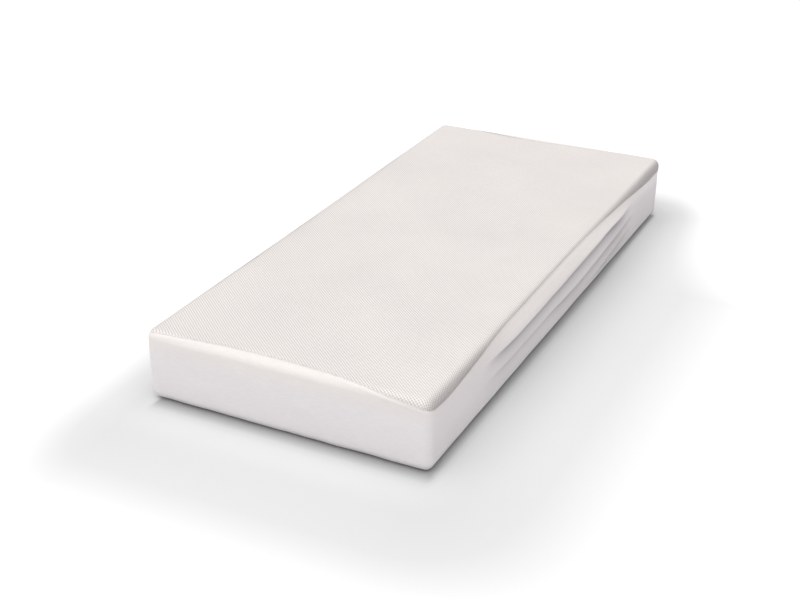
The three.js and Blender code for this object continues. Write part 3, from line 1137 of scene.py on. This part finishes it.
@dataclass(frozen=True)
class CoverCloth:
    """What moves the cover's cloth off the plain box: slack folds, puckers at the seam and soft waves."""

    upper_line = (
        (-0.68, 0.150), (-0.45, 0.160), (-0.15, 0.163), (0.21, 0.170), (0.40, 0.173), (0.55, 0.167),
        (0.70, 0.158),
    )
    lower_line = (
        (-0.68, 0.096), (-0.40, 0.091), (-0.20, 0.0915), (0.0, 0.0955), (0.25, 0.105), (0.42, 0.1135),
        (0.55, 0.1165), (0.72, 0.113),
    )
    form: Form
    folds: tuple[Fold, ...] = (
        Fold(Side.RIGHT, upper_line, lip=0.018, tuck=0.005, rise=0.050, fade=0.28),
        Fold(Side.RIGHT, lower_line, lip=0.0045, tuck=0.002, rise=0.022, droop=0.003, fade=0.20),
        Fold(Side.RIGHT, lower_line[2:], lip=0.010, tuck=0.004, rise=0.024, fade=0.32),
        Fold(Side.RIGHT, ((0.22, 0.036), (0.34, 0.046), (0.58, 0.068), (0.72, 0.074)),
             lip=0.006, tuck=0.002, rise=0.016, recover=0.02, droop=0.003, fade=0.20),
        Fold(Side.LEFT, ((-0.70, 0.130), (-0.40, 0.142), (0.05, 0.156), (0.45, 0.160), (0.66, 0.168)),
             lip=0.012, tuck=0.004, rise=0.040, fade=0.30),
        Fold(Side.LEFT, ((-0.45, 0.072), (-0.10, 0.088), (0.30, 0.094), (0.60, 0.086)),
             lip=0.007, tuck=0.003, rise=0.028, droop=0.005, fade=0.25),
        Fold(Side.HEAD, ((-0.30, 0.142), (-0.05, 0.134), (0.22, 0.139)),
             lip=0.006, tuck=0.002, rise=0.045, droop=0.003, fade=0.18),
    )
    slack: float = 0.0042
    deepest: float = -0.0014
    wave: float = 0.0007
    pucker: float = 0.0006
    ridge: float = 0.0014
    swell: float = 0.0011
    head_painted_shade: float = 0.22
    # How much painted shade darkens the right side towards the head.
    """How much darker the right side grows towards the head."""

    def wall(self, at: Stations, down: Array) -> tuple[Array, Array, Array]:
        """How far the skirt stands off the box at each point, how far it droops, and its painted shade.

        Args:
            at: The stations, along the last axis of down.
            down: Each point's distance down the edge.

        Returns:
            The push out of the surface, the distance down and the painted shade.
        """
        place = self.form.place(at, down)
        run = np.where(at.side % 2 == 0, place[..., 0], place[..., 1])
        side = np.where((at.turn > 0) & (at.turn < 1), -1, at.side)
        z = place[..., 2]
        seam = self.form.seam(at.mark)
        on_side = ease((down - seam) / 0.035) * ease((self.form.under_start - down) / 0.02)
        moves = zip(*(fold.move(side, run, z) for fold in self.folds))
        push, drop, shade = (on_side * sum(part) for part in moves)
        reach = np.where(at.side % 2 == 0, 0.34, 0.78)
        loose = ease((reach - np.abs(run)) / 0.28) * ease(z / 0.11) * ease((0.205 - z) / 0.05) * (side >= 0)
        push = push + self.slack * loose * (at.side % 2 + 0.25) / 1.25
        girth = at.girth()
        push = push + self.wave * ripples(girth, down * 2.0, 0.10, 0.45, seed=3) * on_side
        near = np.exp(-np.maximum(down - seam, 0) / 0.016)
        puckers = ripples(girth, down * 0.4, 0.022, 0.06, seed=8)
        push = push + self.pucker * puckers * near * (down > seam)
        push = push + self.ridge * np.exp(-(((down - seam - 0.009) / 0.007) ** 2)) * (at.side % 2 == 0)
        # Painted shade: the right side grows darker towards the head.
        to_head = self.head_painted_shade * ease((run - 0.2) / 0.6)
        shade = shade + to_head * ease((down - seam - 0.01) / 0.05) * (side == Side.RIGHT)
        return np.maximum(push, self.deepest), drop, np.minimum(shade, 1)

    def top(self, x: Array, y: Array) -> Array:
        """The soft rise and fall of the sleeping surface."""
        return self.swell * ripples(x, y, 0.22, 0.8, seed=5)


@dataclass
class TopPanel:
    """The relief-knit panel: a flat field with a border that runs over the edge and down to the seam."""

    shop: Workshop
    cloth: CoverCloth
    flat: float = 0.045
    gap: float = 0.0006
    thickness: float = 0.0024
    rows: tuple[int, int] = (14, 20)
    roll: tuple[float, float] = (0.0010, 0.0016)
    root: float = 0.008
    reach: float = 0.030
    turned: float = 0.0010
    turned_reach: float = 0.0016

    def push(self, at: Stations, down: Array) -> Array:
        """The top's soft waves, carried over the edge, and the roll in which the cloth turns in to the seam.

        The roll swells as 1 - exp(-t/root) at a distance t from the seam and dies away as exp(-(t/reach)²).
        It is highest where the seam is lowest. At the seam itself the cloth is drawn in by `turned`.

        Args:
            at: The stations, along the last axis of down.
            down: Each point's distance down the edge.

        Returns:
            How far each point stands out of the surface.
        """
        flat = self.shop.form.unrolled(at, down)
        waves = self.cloth.top(flat[..., 0], flat[..., 1])
        seam = self.shop.form.seam(at.mark)
        short = seam - down
        height = self.roll[0] + (self.roll[1] - self.roll[0]) * ease((seam - 0.012) / 0.034)
        swell = (1 - np.exp(-short / self.root)) * np.exp(-((short / self.reach) ** 2)) * ease(down / 0.016)
        return waves + height * swell - self.turned * np.exp(-short / self.turned_reach)

    def shade(self, at: Stations, down: Array) -> Array:
        """The painted shade in the roll, which deepens over the edge and down to the seam, most on the long
        sides and towards the head.

        Args:
            at: The stations, along the last axis of down.
            down: Each point's distance down the edge.

        Returns:
            Each point's painted shade.
        """
        # Painted shade on the border where it turns down the sides.
        seam = self.shop.form.seam(at.mark)
        long = np.where(at.turn > 0, np.where(at.side % 2, 1 - at.turn, at.turn), at.side % 2)
        low = np.maximum(ease((seam - 0.016) / 0.02), 0.9 * long)
        over = 0.66 * ease((down - 0.002) / 0.026) + 0.34 * np.exp(-(seam - down) / 0.012)
        at_head = ease((self.shop.form.outline(at)[..., 1] - 0.5) / 0.4)
        return over * low * (0.15 + (0.85 + 0.35 * at_head) * long)

    def build(self) -> None:
        """Makes the panel of two grids over its flat and a border that turns under at the seam."""
        form, at = self.shop.form, self.shop.fine
        end = form.seam(at.mark) - self.gap
        bend = np.minimum(-0.002, end - 0.006)  # level all round each corner, so that no rows cross there
        down = legs(-self.flat, bend, end, *self.rows)
        thin = self.thickness
        outer = form.place(at, down, self.push(at, down))
        inner = form.place(at, down, self.push(at, down) - thin)
        uv = form.unrolled(at, down)
        shade = self.shade(at, down)
        border = Grid(
            np.concatenate([outer, inner[::-1]]),
            np.concatenate([uv, uv[::-1]]),
            wrap_columns=True,
            shade=np.concatenate([shade, shade[::-1]]),
        )
        flat = flat_grid(form, self.shop.fine_steps, form.top + self.flat, 0)
        top = form.height + self.cloth.top(flat.uv[..., 0], flat.uv[..., 1])
        flats = [flat_grid(form, self.shop.fine_steps, form.top + self.flat, z) for z in (top, top - thin)]
        piece = weld("top_panel", [border, *flats], near=5e-6)
        self.shop.finish(piece, self.shop.finishes.relief_knit, "panel_knit", ROOT, "cover_top_panel")


@dataclass
class Skirt:
    """The plain knit border, from the seam down the side, round the bottom edge and in to the base seam."""

    shop: Workshop
    cloth: CoverCloth
    gap: float = 0.0006
    thickness: float = 0.0024
    rows: tuple[int, int] = (96, 24)
    inner_rows: tuple[int, int] = (12, 12)
    lift: float = 0.0056
    base_edge: float = 0.0075

    def build(self) -> None:
        """Makes the skirt as one closed grid: its outer face down, and its inner face back up."""
        form, at = self.shop.form, self.shop.fine
        start = form.seam(at.mark) + self.gap
        end = form.under_start + form.groove.inset - self.base_edge - form.bottom
        down = legs(start, form.side_end, end, *self.rows)
        deep = legs(start, form.side_end, end, *self.inner_rows)[::-1]
        tuck = 0.0010 * np.exp(-(down - start) / 0.0014)
        push, drop, shade = self.cloth.wall(at, down)
        outer = form.place(at, down, push - tuck, self.lift)
        outer[..., 2] -= drop
        inner = form.place(at, deep, -self.thickness, self.lift)
        girth = run_length(form.outline(at))
        grid = Grid(
            np.concatenate([outer, inner]),
            np.stack(np.broadcast_arrays(girth[None, :], np.concatenate([down, deep])), -1),
            wrap_rows=True,
            wrap_columns=True,
            uv_turn=(girth[-1] + girth[1], 0.0),
            shade=np.concatenate([shade, np.zeros(deep.shape) * at.mark]),
        )
        piece = weld("skirt", [grid])
        self.shop.finish(piece, self.shop.finishes.skirt_knit, "skirt_knit", ROOT, "cover_skirt")


@dataclass
class TopSeam:
    """The folded binding between the panel and the skirt, with the row of stitches that holds it."""

    shop: Workshop
    cord: float = 0.0015
    sunk: float = -0.0001
    stitch_pitch: float = 0.0036
    stitch_inboard: float = 0.0042
    stitch_radius: float = 0.00028

    def build(self) -> None:
        """Makes the binding's cord and the stitches."""
        form, at = self.shop.form, self.shop.fine
        line, out, across = self.shop.path(at, form.seam(at.mark), -self.sunk)
        piece = weld("seam_cord", [tube(line, across, out, self.cord, 10, closed=True)])
        self.shop.finish(piece, self.shop.finishes.seam_tape, "seam_tape", ROOT, "top_seam_cord")
        self.stitches()

    def stitches(self) -> None:
        """A stitch is a short bowed thread: its radius and height follow a sine along its length."""
        form, at = self.shop.form, self.shop.fine
        line, out, across = self.shop.path(at, form.seam(at.mark) - self.stitch_inboard, 0.0003)
        closed = np.concatenate([line, line[:1]])
        run = run_length(closed)
        count = int(run[-1] / self.stitch_pitch)
        steps = 4
        share = np.linspace(0.08, 0.86, steps + 1)
        at_run = ((np.arange(count)[:, None] + share) * self.stitch_pitch).ravel()

        def along(values: Array) -> Array:
            """Reads a closed line's values at the stitches' places."""
            loop = np.concatenate([values, values[:1]])
            return np.stack([np.interp(at_run, run, loop[:, k]) for k in range(3)], -1)

        centre, rise, side = along(line), along(out), along(across)
        bow = np.tile(np.sin(math.pi * (share - 0.08) / 0.78), count)
        centre = centre + rise * (0.0004 * bow)[:, None]
        radius = self.stitch_radius * (0.45 + 0.55 * bow)
        angle = np.arange(5) / 5 * TAU
        circle = np.cos(angle)[:, None, None] * side + np.sin(angle)[:, None, None] * rise
        points = centre + circle * radius[None, :, None]
        points = points.reshape(5, count, steps + 1, 3).transpose(1, 0, 2, 3)
        uv = np.zeros((5, steps + 1, 2))
        uv[..., 0] = share * self.stitch_pitch
        uv[..., 1] = (angle * self.stitch_radius)[:, None]
        piece = weld("seam_stitches", [capped(Grid(p, uv, wrap_rows=True)) for p in points], near=1e-7)
        self.shop.finish(piece, self.shop.finishes.thread, "seam_tape", ROOT)


@dataclass
class BasePanel:
    """The woven underside, flat on the floor and raised at its edge over the groove."""

    shop: Workshop
    thickness: float = 0.0024
    lift: float = 0.0056
    base_edge: float = 0.0075
    rows: int = 12

    def build(self) -> None:
        """Makes the panel of two flat grids and a border that follows the groove's slope."""
        form, at = self.shop.form, self.shop.plain
        edge = form.groove.inset + self.base_edge
        flat = form.groove.inset + form.groove.reach + 0.01
        inset = np.linspace(edge, flat, self.rows)[:, None] * np.ones(len(at.mark))
        plan = form.ring(at, inset)
        z = self.lift * form.groove.share(inset)
        outer, inner = (np.concatenate([plan, (z + t)[..., None]], -1) for t in (0.0, self.thickness))
        border = Grid(
            np.concatenate([outer[::-1], inner]), np.concatenate([plan[::-1], plan]), wrap_columns=True
        )
        flats = [flat_grid(form, self.shop.plain_steps, flat, z) for z in (0.0, self.thickness)]
        piece = weld("base_panel_cloth", [border, *flats])
        self.shop.finish(piece, self.shop.finishes.base_weave, "base_fabric", ROOT, "base_panel")


@dataclass
class BaseBinding:
    """The folded tape over the base seam, everywhere but along the zip."""

    shop: Workshop
    zip_half: float = 0.336
    half: float = 0.0071
    low: float = 0.0056
    thickness: float = 0.0024

    def build(self) -> None:
        """Carries a rounded flat section round the groove and closes both ends."""
        form, at = self.shop.form, self.shop.plain
        keep = (at.side != Side.FOOT) | (at.turn > 0)
        order = np.flatnonzero(keep)
        path = Stations(*(getattr(at, name)[order] for name in ("side", "along", "turn", "mark")))
        angle, across, rise = superellipse(20, self.half, self.thickness / 2, (0.35, 0.6))
        z = rise + self.low + self.thickness / 2
        inset = form.groove.inset + across[:, None] + np.zeros(len(order))
        heights = np.broadcast_to(z[:, None], inset.shape)
        middle = np.concatenate([form.ring(path, inset), heights[..., None]], -1)
        y = form.groove.inset - form.half_length + across
        ends = [np.stack([np.full(len(y), x * self.zip_half), y, z], -1)[:, None] for x in (1, -1)]
        points = np.concatenate([ends[0], middle, ends[1]], 1)
        run = run_length(points[0])
        uv = np.stack(np.broadcast_arrays(run[None, :], (angle * self.half)[:, None]), -1)
        piece = weld("base_binding", [capped(Grid(points, uv, wrap_rows=True))])
        self.shop.finish(piece, self.shop.finishes.seam_tape, "seam_tape", ROOT, "base_seam_binding")


# --------------------------------------------------------------------------------------------------
# The zip
# --------------------------------------------------------------------------------------------------


@dataclass
class Zip:
    """The closed coil zip in the groove: two tapes, two meshed coils, the stops, the slider and its tab."""

    shop: Workshop
    pitch: float = 0.0016
    wire: float = 0.0003
    head_past: float = 0.0003
    tucked: float = 0.010
    bevels: dict[str, float] = field(
        default_factory=lambda: {
            "zip_bottom_stop": 0.00018, "zip_top_stop_skirt": 0.00012, "zip_top_stop_base": 0.00012,
            "zip_slider": 0.00028, "zip_pull_tab": 0.00026,
        }
    )

    def build(self) -> None:
        """Makes every piece of the zip."""
        self.tape("zip_tape_skirt", "tape_skirt", -1)
        self.tape("zip_tape_base", "tape_base", 1)
        self.coil("zip_coil_skirt", "coil_skirt", -1)
        self.coil("zip_coil_base", "coil_base", 1)
        for node, width in self.bevels.items():
            body = {"zip_slider": SLIDER, "zip_pull_tab": PULL_TAB}.get(node, ROOT)
            self.casting(node, node.removeprefix("zip_") + "_cast", width, body)

    def tape(self, node: str, name: str, sign: int) -> None:
        """A woven tape: a thin rounded slab with tucked ends, thicker by the coil and along the selvedge.

        Args:
            node: The CAD node that it stands for.
            name: The new piece's name.
            sign: 1 on the base's side of the zip and -1 on the skirt's.
        """
        low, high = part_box(node)
        x = np.linspace(low.x - self.tucked, high.x + self.tucked, 240)
        half, mid = (high.y - low.y) / 2, (high.y + low.y) / 2
        _, across, rise = superellipse(28, half, (high.z - low.z) / 2, (0.3, 0.5))
        rise = rise * (0.72 + 0.28 * np.abs(across / half) ** 6)
        wave = 0.00008 * np.sin(TAU * x / 0.031)
        z = (low.z + high.z) / 2 + rise[:, None] + wave
        points = np.stack(np.broadcast_arrays(x[None, :], mid + sign * across[:, None], z), -1)
        uv = np.stack(np.broadcast_arrays(x[None, :], across[:, None]), -1)
        piece = weld(name, [capped(Grid(points, uv, wrap_rows=True))])
        self.shop.finish(piece, self.shop.finishes.zip_tape, "zip_tape", ROOT, node)

    def coil(self, node: str, name: str, sign: int) -> None:
        """One row of coil: a flattened helix of monofilament whose heads cross the line between the rows.

        Round one turn the wire goes out and back across the row as a cosine and up and down as a sine, while
        it advances one pitch. The base's row lies half a pitch on from the skirt's, so that the heads mesh.

        Args:
            node: The CAD node that it stands for.
            name: The new piece's name.
            sign: 1 on the base's side of the zip and -1 on the skirt's.
        """
        low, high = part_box(node)
        per_turn = 8
        turns = int((high.x - low.x) / self.pitch)
        t = np.arange(turns * per_turn + 1) / per_turn
        centre_y = -self.shop.form.half_length + self.shop.form.groove.inset
        inner = centre_y - sign * self.head_past
        outer = (high.y if sign > 0 else low.y) - sign * self.wire
        x = low.x + self.wire + (t + (0.5 if sign > 0 else 0.0)) * self.pitch * (1 - 1 / turns)
        y = (inner + outer) / 2 - (outer - inner) / 2 * np.cos(TAU * t)
        z = (low.z + high.z) / 2 + ((high.z - low.z) / 2 - self.wire) * np.sin(TAU * t)
        path = np.stack([x, y, z], -1)
        ahead = np.gradient(path, axis=0)
        ahead /= np.linalg.norm(ahead, axis=1)[:, None]
        across = np.cross(ahead, [1.0, 0.0, 0.0])
        across /= np.linalg.norm(across, axis=1)[:, None]
        up = np.cross(ahead, across)
        piece = weld(name, [capped(tube(path, across, up, self.wire, 5, closed=False))], near=1e-7)
        self.shop.finish(piece, self.shop.finishes.nylon, "zip_nylon", ROOT, node)

    def casting(self, node: str, name: str, width: float, body: str) -> None:
        """A metal piece: the CAD solid with its faces joined and its sharp edges rounded over.

        Args:
            node: The CAD node that it copies.
            name: The new piece's name.
            width: The width of the rounding.
            body: The body that it rides on.
        """
        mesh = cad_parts[node].data.copy()
        mesh.name = name
        work = bmesh.new()
        work.from_mesh(mesh)
        bmesh.ops.remove_doubles(work, verts=work.verts, dist=1e-6)
        bmesh.ops.dissolve_limit(
            work,
            angle_limit=math.radians(2),
            verts=work.verts,
            edges=work.edges,
            use_dissolve_boundaries=False,
        )
        bmesh.ops.recalc_face_normals(work, faces=work.faces)
        work.to_mesh(mesh)
        work.free()
        piece = bpy.data.objects.new(name, mesh)
        bpy.context.scene.collection.objects.link(piece)
        bevel = piece.modifiers.new("rounded", "BEVEL")
        bevel.width, bevel.segments, bevel.limit_method = width, 2, "ANGLE"
        bevel.angle_limit = math.radians(35)
        bevel.use_clamp_overlap = True
        mesh.shade_smooth()
        self.shop.finish(piece, self.shop.finishes.metal, "zip_metal", body, node)


@dataclass
class CareLabel:
    """A blank satin label, held at the base seam and lying in the groove with a slight curl."""

    shop: Workshop

    def build(self) -> None:
        """Makes the label as a thin closed slab that curls by a fraction of a millimetre."""
        low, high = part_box("care_label")
        share = np.linspace(0, 1, 30)
        half, mid = (high.x - low.x) / 2, (high.x + low.x) / 2
        _, across, rise = superellipse(24, half, (high.z - low.z) / 2, (0.2, 0.5))
        y = low.y + (high.y - low.y) * share
        curl = 0.0006 * (across[:, None] / half) ** 2 + 0.0003 * np.sin(math.pi * share)
        z = (low.z + high.z) / 2 + rise[:, None] - curl
        points = np.stack(np.broadcast_arrays(mid + across[:, None], y[None, :], z), -1)
        uv = np.stack(np.broadcast_arrays(across[:, None], y[None, :]), -1)
        piece = weld("label", [capped(Grid(points, uv, wrap_rows=True))])
        self.shop.finish(piece, self.shop.finishes.label_satin, "label_satin", ROOT, "care_label")


# --------------------------------------------------------------------------------------------------
# Inside the cover
# --------------------------------------------------------------------------------------------------


@dataclass
class Sleeve:
    """The stockinette sleeve, a thin sheet drawn all round the foam, with a slit in its foot end."""

    shop: Workshop
    depth: float = 0.0046
    thickness: float = 0.0012
    lift: float = 0.0080
    rows: int = 44
    flat: float = 0.03
    slit_half: float = 0.285
    slack: float = 0.0003

    def build(self) -> None:
        """Makes the sleeve of outer and inner faces that meet round the slit, and the strip closing it."""
        form, at = self.shop.form, self.shop.plain
        low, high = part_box("sleeve_closing_seam")
        slit_low, slit_high = low.z - 0.0004, high.z + 0.0004
        end = form.under_start + form.groove.inset + form.groove.reach + self.flat - form.bottom
        slit_top = form.arc_end + form.height - form.top - slit_high
        slit_bottom = form.arc_end + form.height - form.top - slit_low
        down = np.concatenate(
            [np.linspace(-self.flat, slit_top, self.rows // 2), np.linspace(slit_bottom, end, self.rows // 2)]
        )[:, None] * np.ones(len(at.mark))
        loose = window(down, -self.flat, end, 0.02)
        slack = self.slack * ripples(at.girth(), down, 0.05, 0.3, seed=11) * loose
        faces = [form.place(at, down, slack - self.depth - t, self.lift) for t in (0.0, self.thickness)]
        uv = np.stack(np.broadcast_arrays(at.girth(), down), -1)
        half = self.rows // 2
        slit = slice(half - 1, half + 1)
        in_slit = (at.side == Side.FOOT) & (np.abs(form.outline(at)[:, 0]) <= self.slit_half)
        mouth = np.flatnonzero(in_slit)
        mouth = np.concatenate([[mouth[0] - 1], mouth, [mouth[-1] + 1]])
        ring = np.concatenate([np.arange(mouth[-1], len(at.mark)), np.arange(mouth[0] + 1)])
        grids = []
        for face in faces:
            for rows in (slice(0, half), slice(half, None)):
                grids.append(Grid(face[rows], uv[rows], wrap_columns=True, uv_turn=(4 * MEAN_SIDE, 0)))
            grids.append(Grid(face[slit][:, ring], uv[slit][:, ring]))
        lips = [(half - 1, mouth), (half, mouth), (slit, mouth[0]), (slit, mouth[-1])]
        for lip in lips:
            grids.append(Grid(np.stack([face[lip] for face in faces]), np.stack([uv[lip]] * 2)))
        low_inset = form.groove.inset + form.groove.reach + self.flat
        for deep in (self.depth, self.depth + self.thickness):
            grids.append(flat_grid(form, self.shop.plain_steps, form.top + self.flat, form.height - deep))
            grids.append(flat_grid(form, self.shop.plain_steps, low_inset, deep))
        piece = weld("sleeve", grids, near=2e-6)
        self.shop.finish(piece, self.shop.finishes.sleeve_knit, "sleeve_knit", ROOT, "inner_sleeve")
        self.closing_strip(low, high)

    def closing_strip(self, low: Vector, high: Vector) -> None:
        """The sewn strip in the slit: a slab whose faces bow out a little between the stitches.

        Args:
            low: The low corner of the CAD strip's box.
            high: Its high corner.
        """
        x = np.linspace(low.x, high.x, 300)
        _, across, rise = superellipse(16, (high.y - low.y) / 2, (high.z - low.z) / 2, (0.5, 0.4))
        swell = 0.9 + 0.1 * np.sin(TAU * x / 0.004)
        y = (low.y + high.y) / 2 + across[:, None] * swell
        points = np.stack(np.broadcast_arrays(x[None, :], y, (low.z + high.z) / 2 + rise[:, None]), -1)
        uv = np.stack(np.broadcast_arrays(x[None, :], rise[:, None]), -1)
        piece = weld("sleeve_strip", [capped(Grid(points, uv, wrap_rows=True))])
        self.shop.finish(piece, self.shop.finishes.seam_tape, "seam_tape", ROOT, "sleeve_closing_seam")


class Layer(Enum):
    """The foam layers, each with its CAD node, its piece's name and its record slot."""

    MEMORY = ("memory_foam_layer", "memory_foam", "memory_foam")
    TRANSITION = ("transition_foam_layer", "transition_foam", "transition_foam")
    SUPPORT = ("support_foam_core", "support_foam", "support_foam")


@dataclass
class FoamStack:
    """Three cut foam slabs, the top one rounded over its upper edge and the bottom one over its lower."""

    shop: Workshop
    depth: float = 0.0062
    lift: float = 0.0080
    cut: float = 0.0015

    def slab(self, layer: Layer) -> None:
        """Makes one slab: a border from its top flat over its edges to its bottom flat, and the two flats.

        Args:
            layer: Which layer it is.
        """
        form, at = self.shop.form, self.shop.plain
        node, name, slot = layer.value
        low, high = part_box(node)
        rim_top, rim_low = form.top + 0.01, form.groove.inset + form.groove.reach + 0.01
        rows: list[tuple[float, float]] = []
        r = self.cut
        if layer is Layer.MEMORY:
            down = np.linspace(-0.01, form.arc_end, 14)
            inset, z, outward, upward = form.edge(down)
            rows += list(zip(inset + self.depth * outward, z - self.depth * upward))
        else:
            rows += [(rim_top, high.z), (self.depth + r, high.z)]
            rows += [(self.depth + 0.3 * r, high.z - 0.3 * r), (self.depth, high.z - r)]
        if layer is Layer.SUPPORT:
            down = np.linspace(form.side_end, form.under_start, 12)
            inset, z, outward, upward = form.edge(down)
            rows += list(zip(inset + self.depth * outward, z - self.depth * upward))
            groove = np.linspace(form.bottom + 0.01, rim_low, 26)
            rows += list(zip(groove, self.depth + self.lift * form.groove.share(groove)))
        else:
            rows += [(self.depth, low.z + r), (self.depth + 0.3 * r, low.z + 0.3 * r)]
            rows += [(self.depth + r, low.z), (rim_low, low.z)]
        inset, z = (np.array(column)[:, None] * np.ones(len(at.mark)) for column in zip(*rows))
        plan = form.ring(at, inset)
        border = Grid(np.concatenate([plan, z[..., None]], -1), plan, wrap_columns=True)
        flats = [flat_grid(form, self.shop.plain_steps, rows[k][0], rows[k][1]) for k in (0, -1)]
        piece = weld(name, [border, *flats])
        self.shop.finish(piece, getattr(self.shop.finishes, slot), slot, ROOT, node)

    def build(self) -> None:
        """Makes all three slabs."""
        for layer in Layer:
            self.slab(layer)


# --------------------------------------------------------------------------------------------------
# The studio
# --------------------------------------------------------------------------------------------------


@dataclass
class Studio:
    """A pale floor with a painted shadow round the mattress, under soft light: a white dome, one broad key
    from high over the foot, and the camera.
    """

    azimuth: float = 26.68
    elevation: float = 26.56
    distance: float = 4.247
    target: tuple[float, float, float] = (0.012, -0.303, 0.11)
    lens: float = 60.78
    dome: float = 0.22
    key_strength: float = 2.95
    key_spread: float = 95.0
    key_from: tuple[float, float, float] = (0.0, -0.28, 0.96)
    key_tint: Rgb = (1.0, 0.985, 0.962)
    floor_painted_shadow: tuple[tuple[float, float], ...] = (
        (0, 0.43), (0.009, 0.55), (0.02, 0.68), (0.036, 0.73), (0.12, 0.722), (0.3, 0.77), (0.58, 0.99),
    )
    floor_tint: Rgb = (0.978, 0.986, 1.006)
    lit_side: float = 2.2
    foot_side: tuple[float, float] = (0.45, 1.1)
    head_from: float = 0.35
    head_growth: float = 2.6
    lit_in: float = 0.034
    floor_half: float = 120.0
    floor_gap: float = 0.0002

    def camera(self) -> None:
        """Puts the camera out from its target along the viewing direction, looking back."""
        data = bpy.data.cameras.new("camera")
        data.lens, data.sensor_width = self.lens, 36.0
        a, e = math.radians(self.azimuth), math.radians(self.elevation)
        back = Vector((math.sin(a) * math.cos(e), -math.cos(a) * math.cos(e), math.sin(e)))
        camera = bpy.data.objects.new("camera", data)
        camera.location = Vector(self.target) + back * self.distance
        camera.rotation_mode = "QUATERNION"
        camera.rotation_quaternion = (-back).to_track_quat("-Z", "Y")
        bpy.context.scene.collection.objects.link(camera)
        bpy.context.scene.camera = camera

    def floor(self) -> None:
        """A wide flat floor, level with the mattress's underside, with a painted shadow round the mattress.

        The painted shadow follows the distance outside the mattress's rectangle. That distance counts
        `lit_side` times over on the left and beyond the head, where the painted shadow is paler. In front of
        the foot it counts for less close by, by `foot_side`'s first value, and by its second more for each
        metre away. On the right it counts for more past `head_from`, by `head_growth` for each metre nearer
        the head. The rectangle stops `lit_in` short of the head and the left side, where the painted contact
        shadow is weak.
        """
        n = Nodes("floor")
        at = n.place(uv=False)
        low, high = CAD_BOX
        upper = (high.x, high.y - self.lit_in, high.z)
        lower = (low.x + self.lit_in, low.y, low.z)
        beyond = n.vectors("MAXIMUM", n.vectors("SUBTRACT", at, upper), (0, 0, 0))
        before = n.vectors("MAXIMUM", n.vectors("SUBTRACT", lower, at), (0, 0, 0))
        _, y = n.axes(at)
        to_head = n.sums("MAXIMUM", n.sums("SUBTRACT", y, self.head_from), 0)
        spread = n.tree.nodes.new("ShaderNodeCombineXYZ")
        n.link(n.sums("MULTIPLY_ADD", to_head, self.head_growth, 1), spread.inputs["X"])
        spread.inputs["Y"].default_value = self.lit_side
        beyond = n.vectors("MULTIPLY", beyond, spread.outputs[0])
        near, growth = self.foot_side
        count = n.vectors("MULTIPLY_ADD", before, (0, growth, 0), (self.lit_side, near, 0))
        before = n.vectors("MULTIPLY", before, count)
        # Painted shadow: the floor's colour darkens towards the mattress.
        ramp = n.tree.nodes.new("ShaderNodeValToRGB")
        n.link(n.vectors("LENGTH", n.vectors("ADD", beyond, before)), ramp.inputs["Fac"])
        stops = ramp.color_ramp.elements
        every = [stops[0], stops[1]] + [stops.new(0.5) for _ in self.floor_painted_shadow[2:]]
        for stop, (away, shade) in zip(every, self.floor_painted_shadow):
            stop.position = away
            stop.color = (*(shade * part for part in self.floor_tint), 1)
        material = n.dress(Base_Color=ramp.outputs["Color"], Roughness=0.9, Specular_IOR_Level=0.0)
        ends = (-self.floor_half, self.floor_half)
        plan = np.stack(np.meshgrid(ends, ends, indexing="ij"), -1)
        z = np.full((2, 2, 1), low.z - self.floor_gap)
        piece = weld("floor", [Grid(np.concatenate([plan, z], -1), plan)])
        piece.data.materials.append(material)

    def lights(self) -> None:
        """The dome and the key."""
        world = bpy.data.worlds.new("studio")
        bpy.context.scene.world = world
        world.use_nodes = True
        background = world.node_tree.nodes["Background"]
        background.inputs["Color"].default_value = (1, 1, 1, 1)
        background.inputs["Strength"].default_value = self.dome
        data = bpy.data.lights.new("key", "SUN")
        data.energy, data.angle, data.color = self.key_strength, math.radians(self.key_spread), self.key_tint
        light = bpy.data.objects.new("key", data)
        light.rotation_mode = "QUATERNION"
        light.rotation_quaternion = (-Vector(self.key_from)).to_track_quat("-Z", "Y")
        bpy.context.scene.collection.objects.link(light)
        bpy.context.scene.view_settings.view_transform = "Standard"

    def build(self) -> None:
        """Sets up the camera, the floor and the lights."""
        self.camera()
        self.floor()
        self.lights()


# --------------------------------------------------------------------------------------------------
# The build
# --------------------------------------------------------------------------------------------------


def main() -> None:
    """Builds the studio and the mattress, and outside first."""
    logging.basicConfig(level=logging.INFO, format="%(name)s: %(message)s")
    low, high = CAD_BOX
    Studio().build()
    form = Form(half_width=(high.x - low.x) / 2, half_length=(high.y - low.y) / 2, height=high.z - low.z)
    fine_steps, plain_steps = (90, 200), (36, 80)
    shop = Workshop(
        form=form,
        finishes=Finishes(),
        fine=stations(*fine_steps, corner_steps=14),
        plain=stations(*plain_steps, corner_steps=8),
        fine_steps=fine_steps,
        plain_steps=plain_steps,
    )
    cloth = CoverCloth(form)
    FoamStack(shop).build()
    Sleeve(shop).build()
    TopPanel(shop, cloth).build()
    Skirt(shop, cloth).build()
    TopSeam(shop).build()
    BasePanel(shop).build()
    BaseBinding(shop).build()
    Zip(shop).build()
    CareLabel(shop).build()


if __name__ == "__main__":
    main()
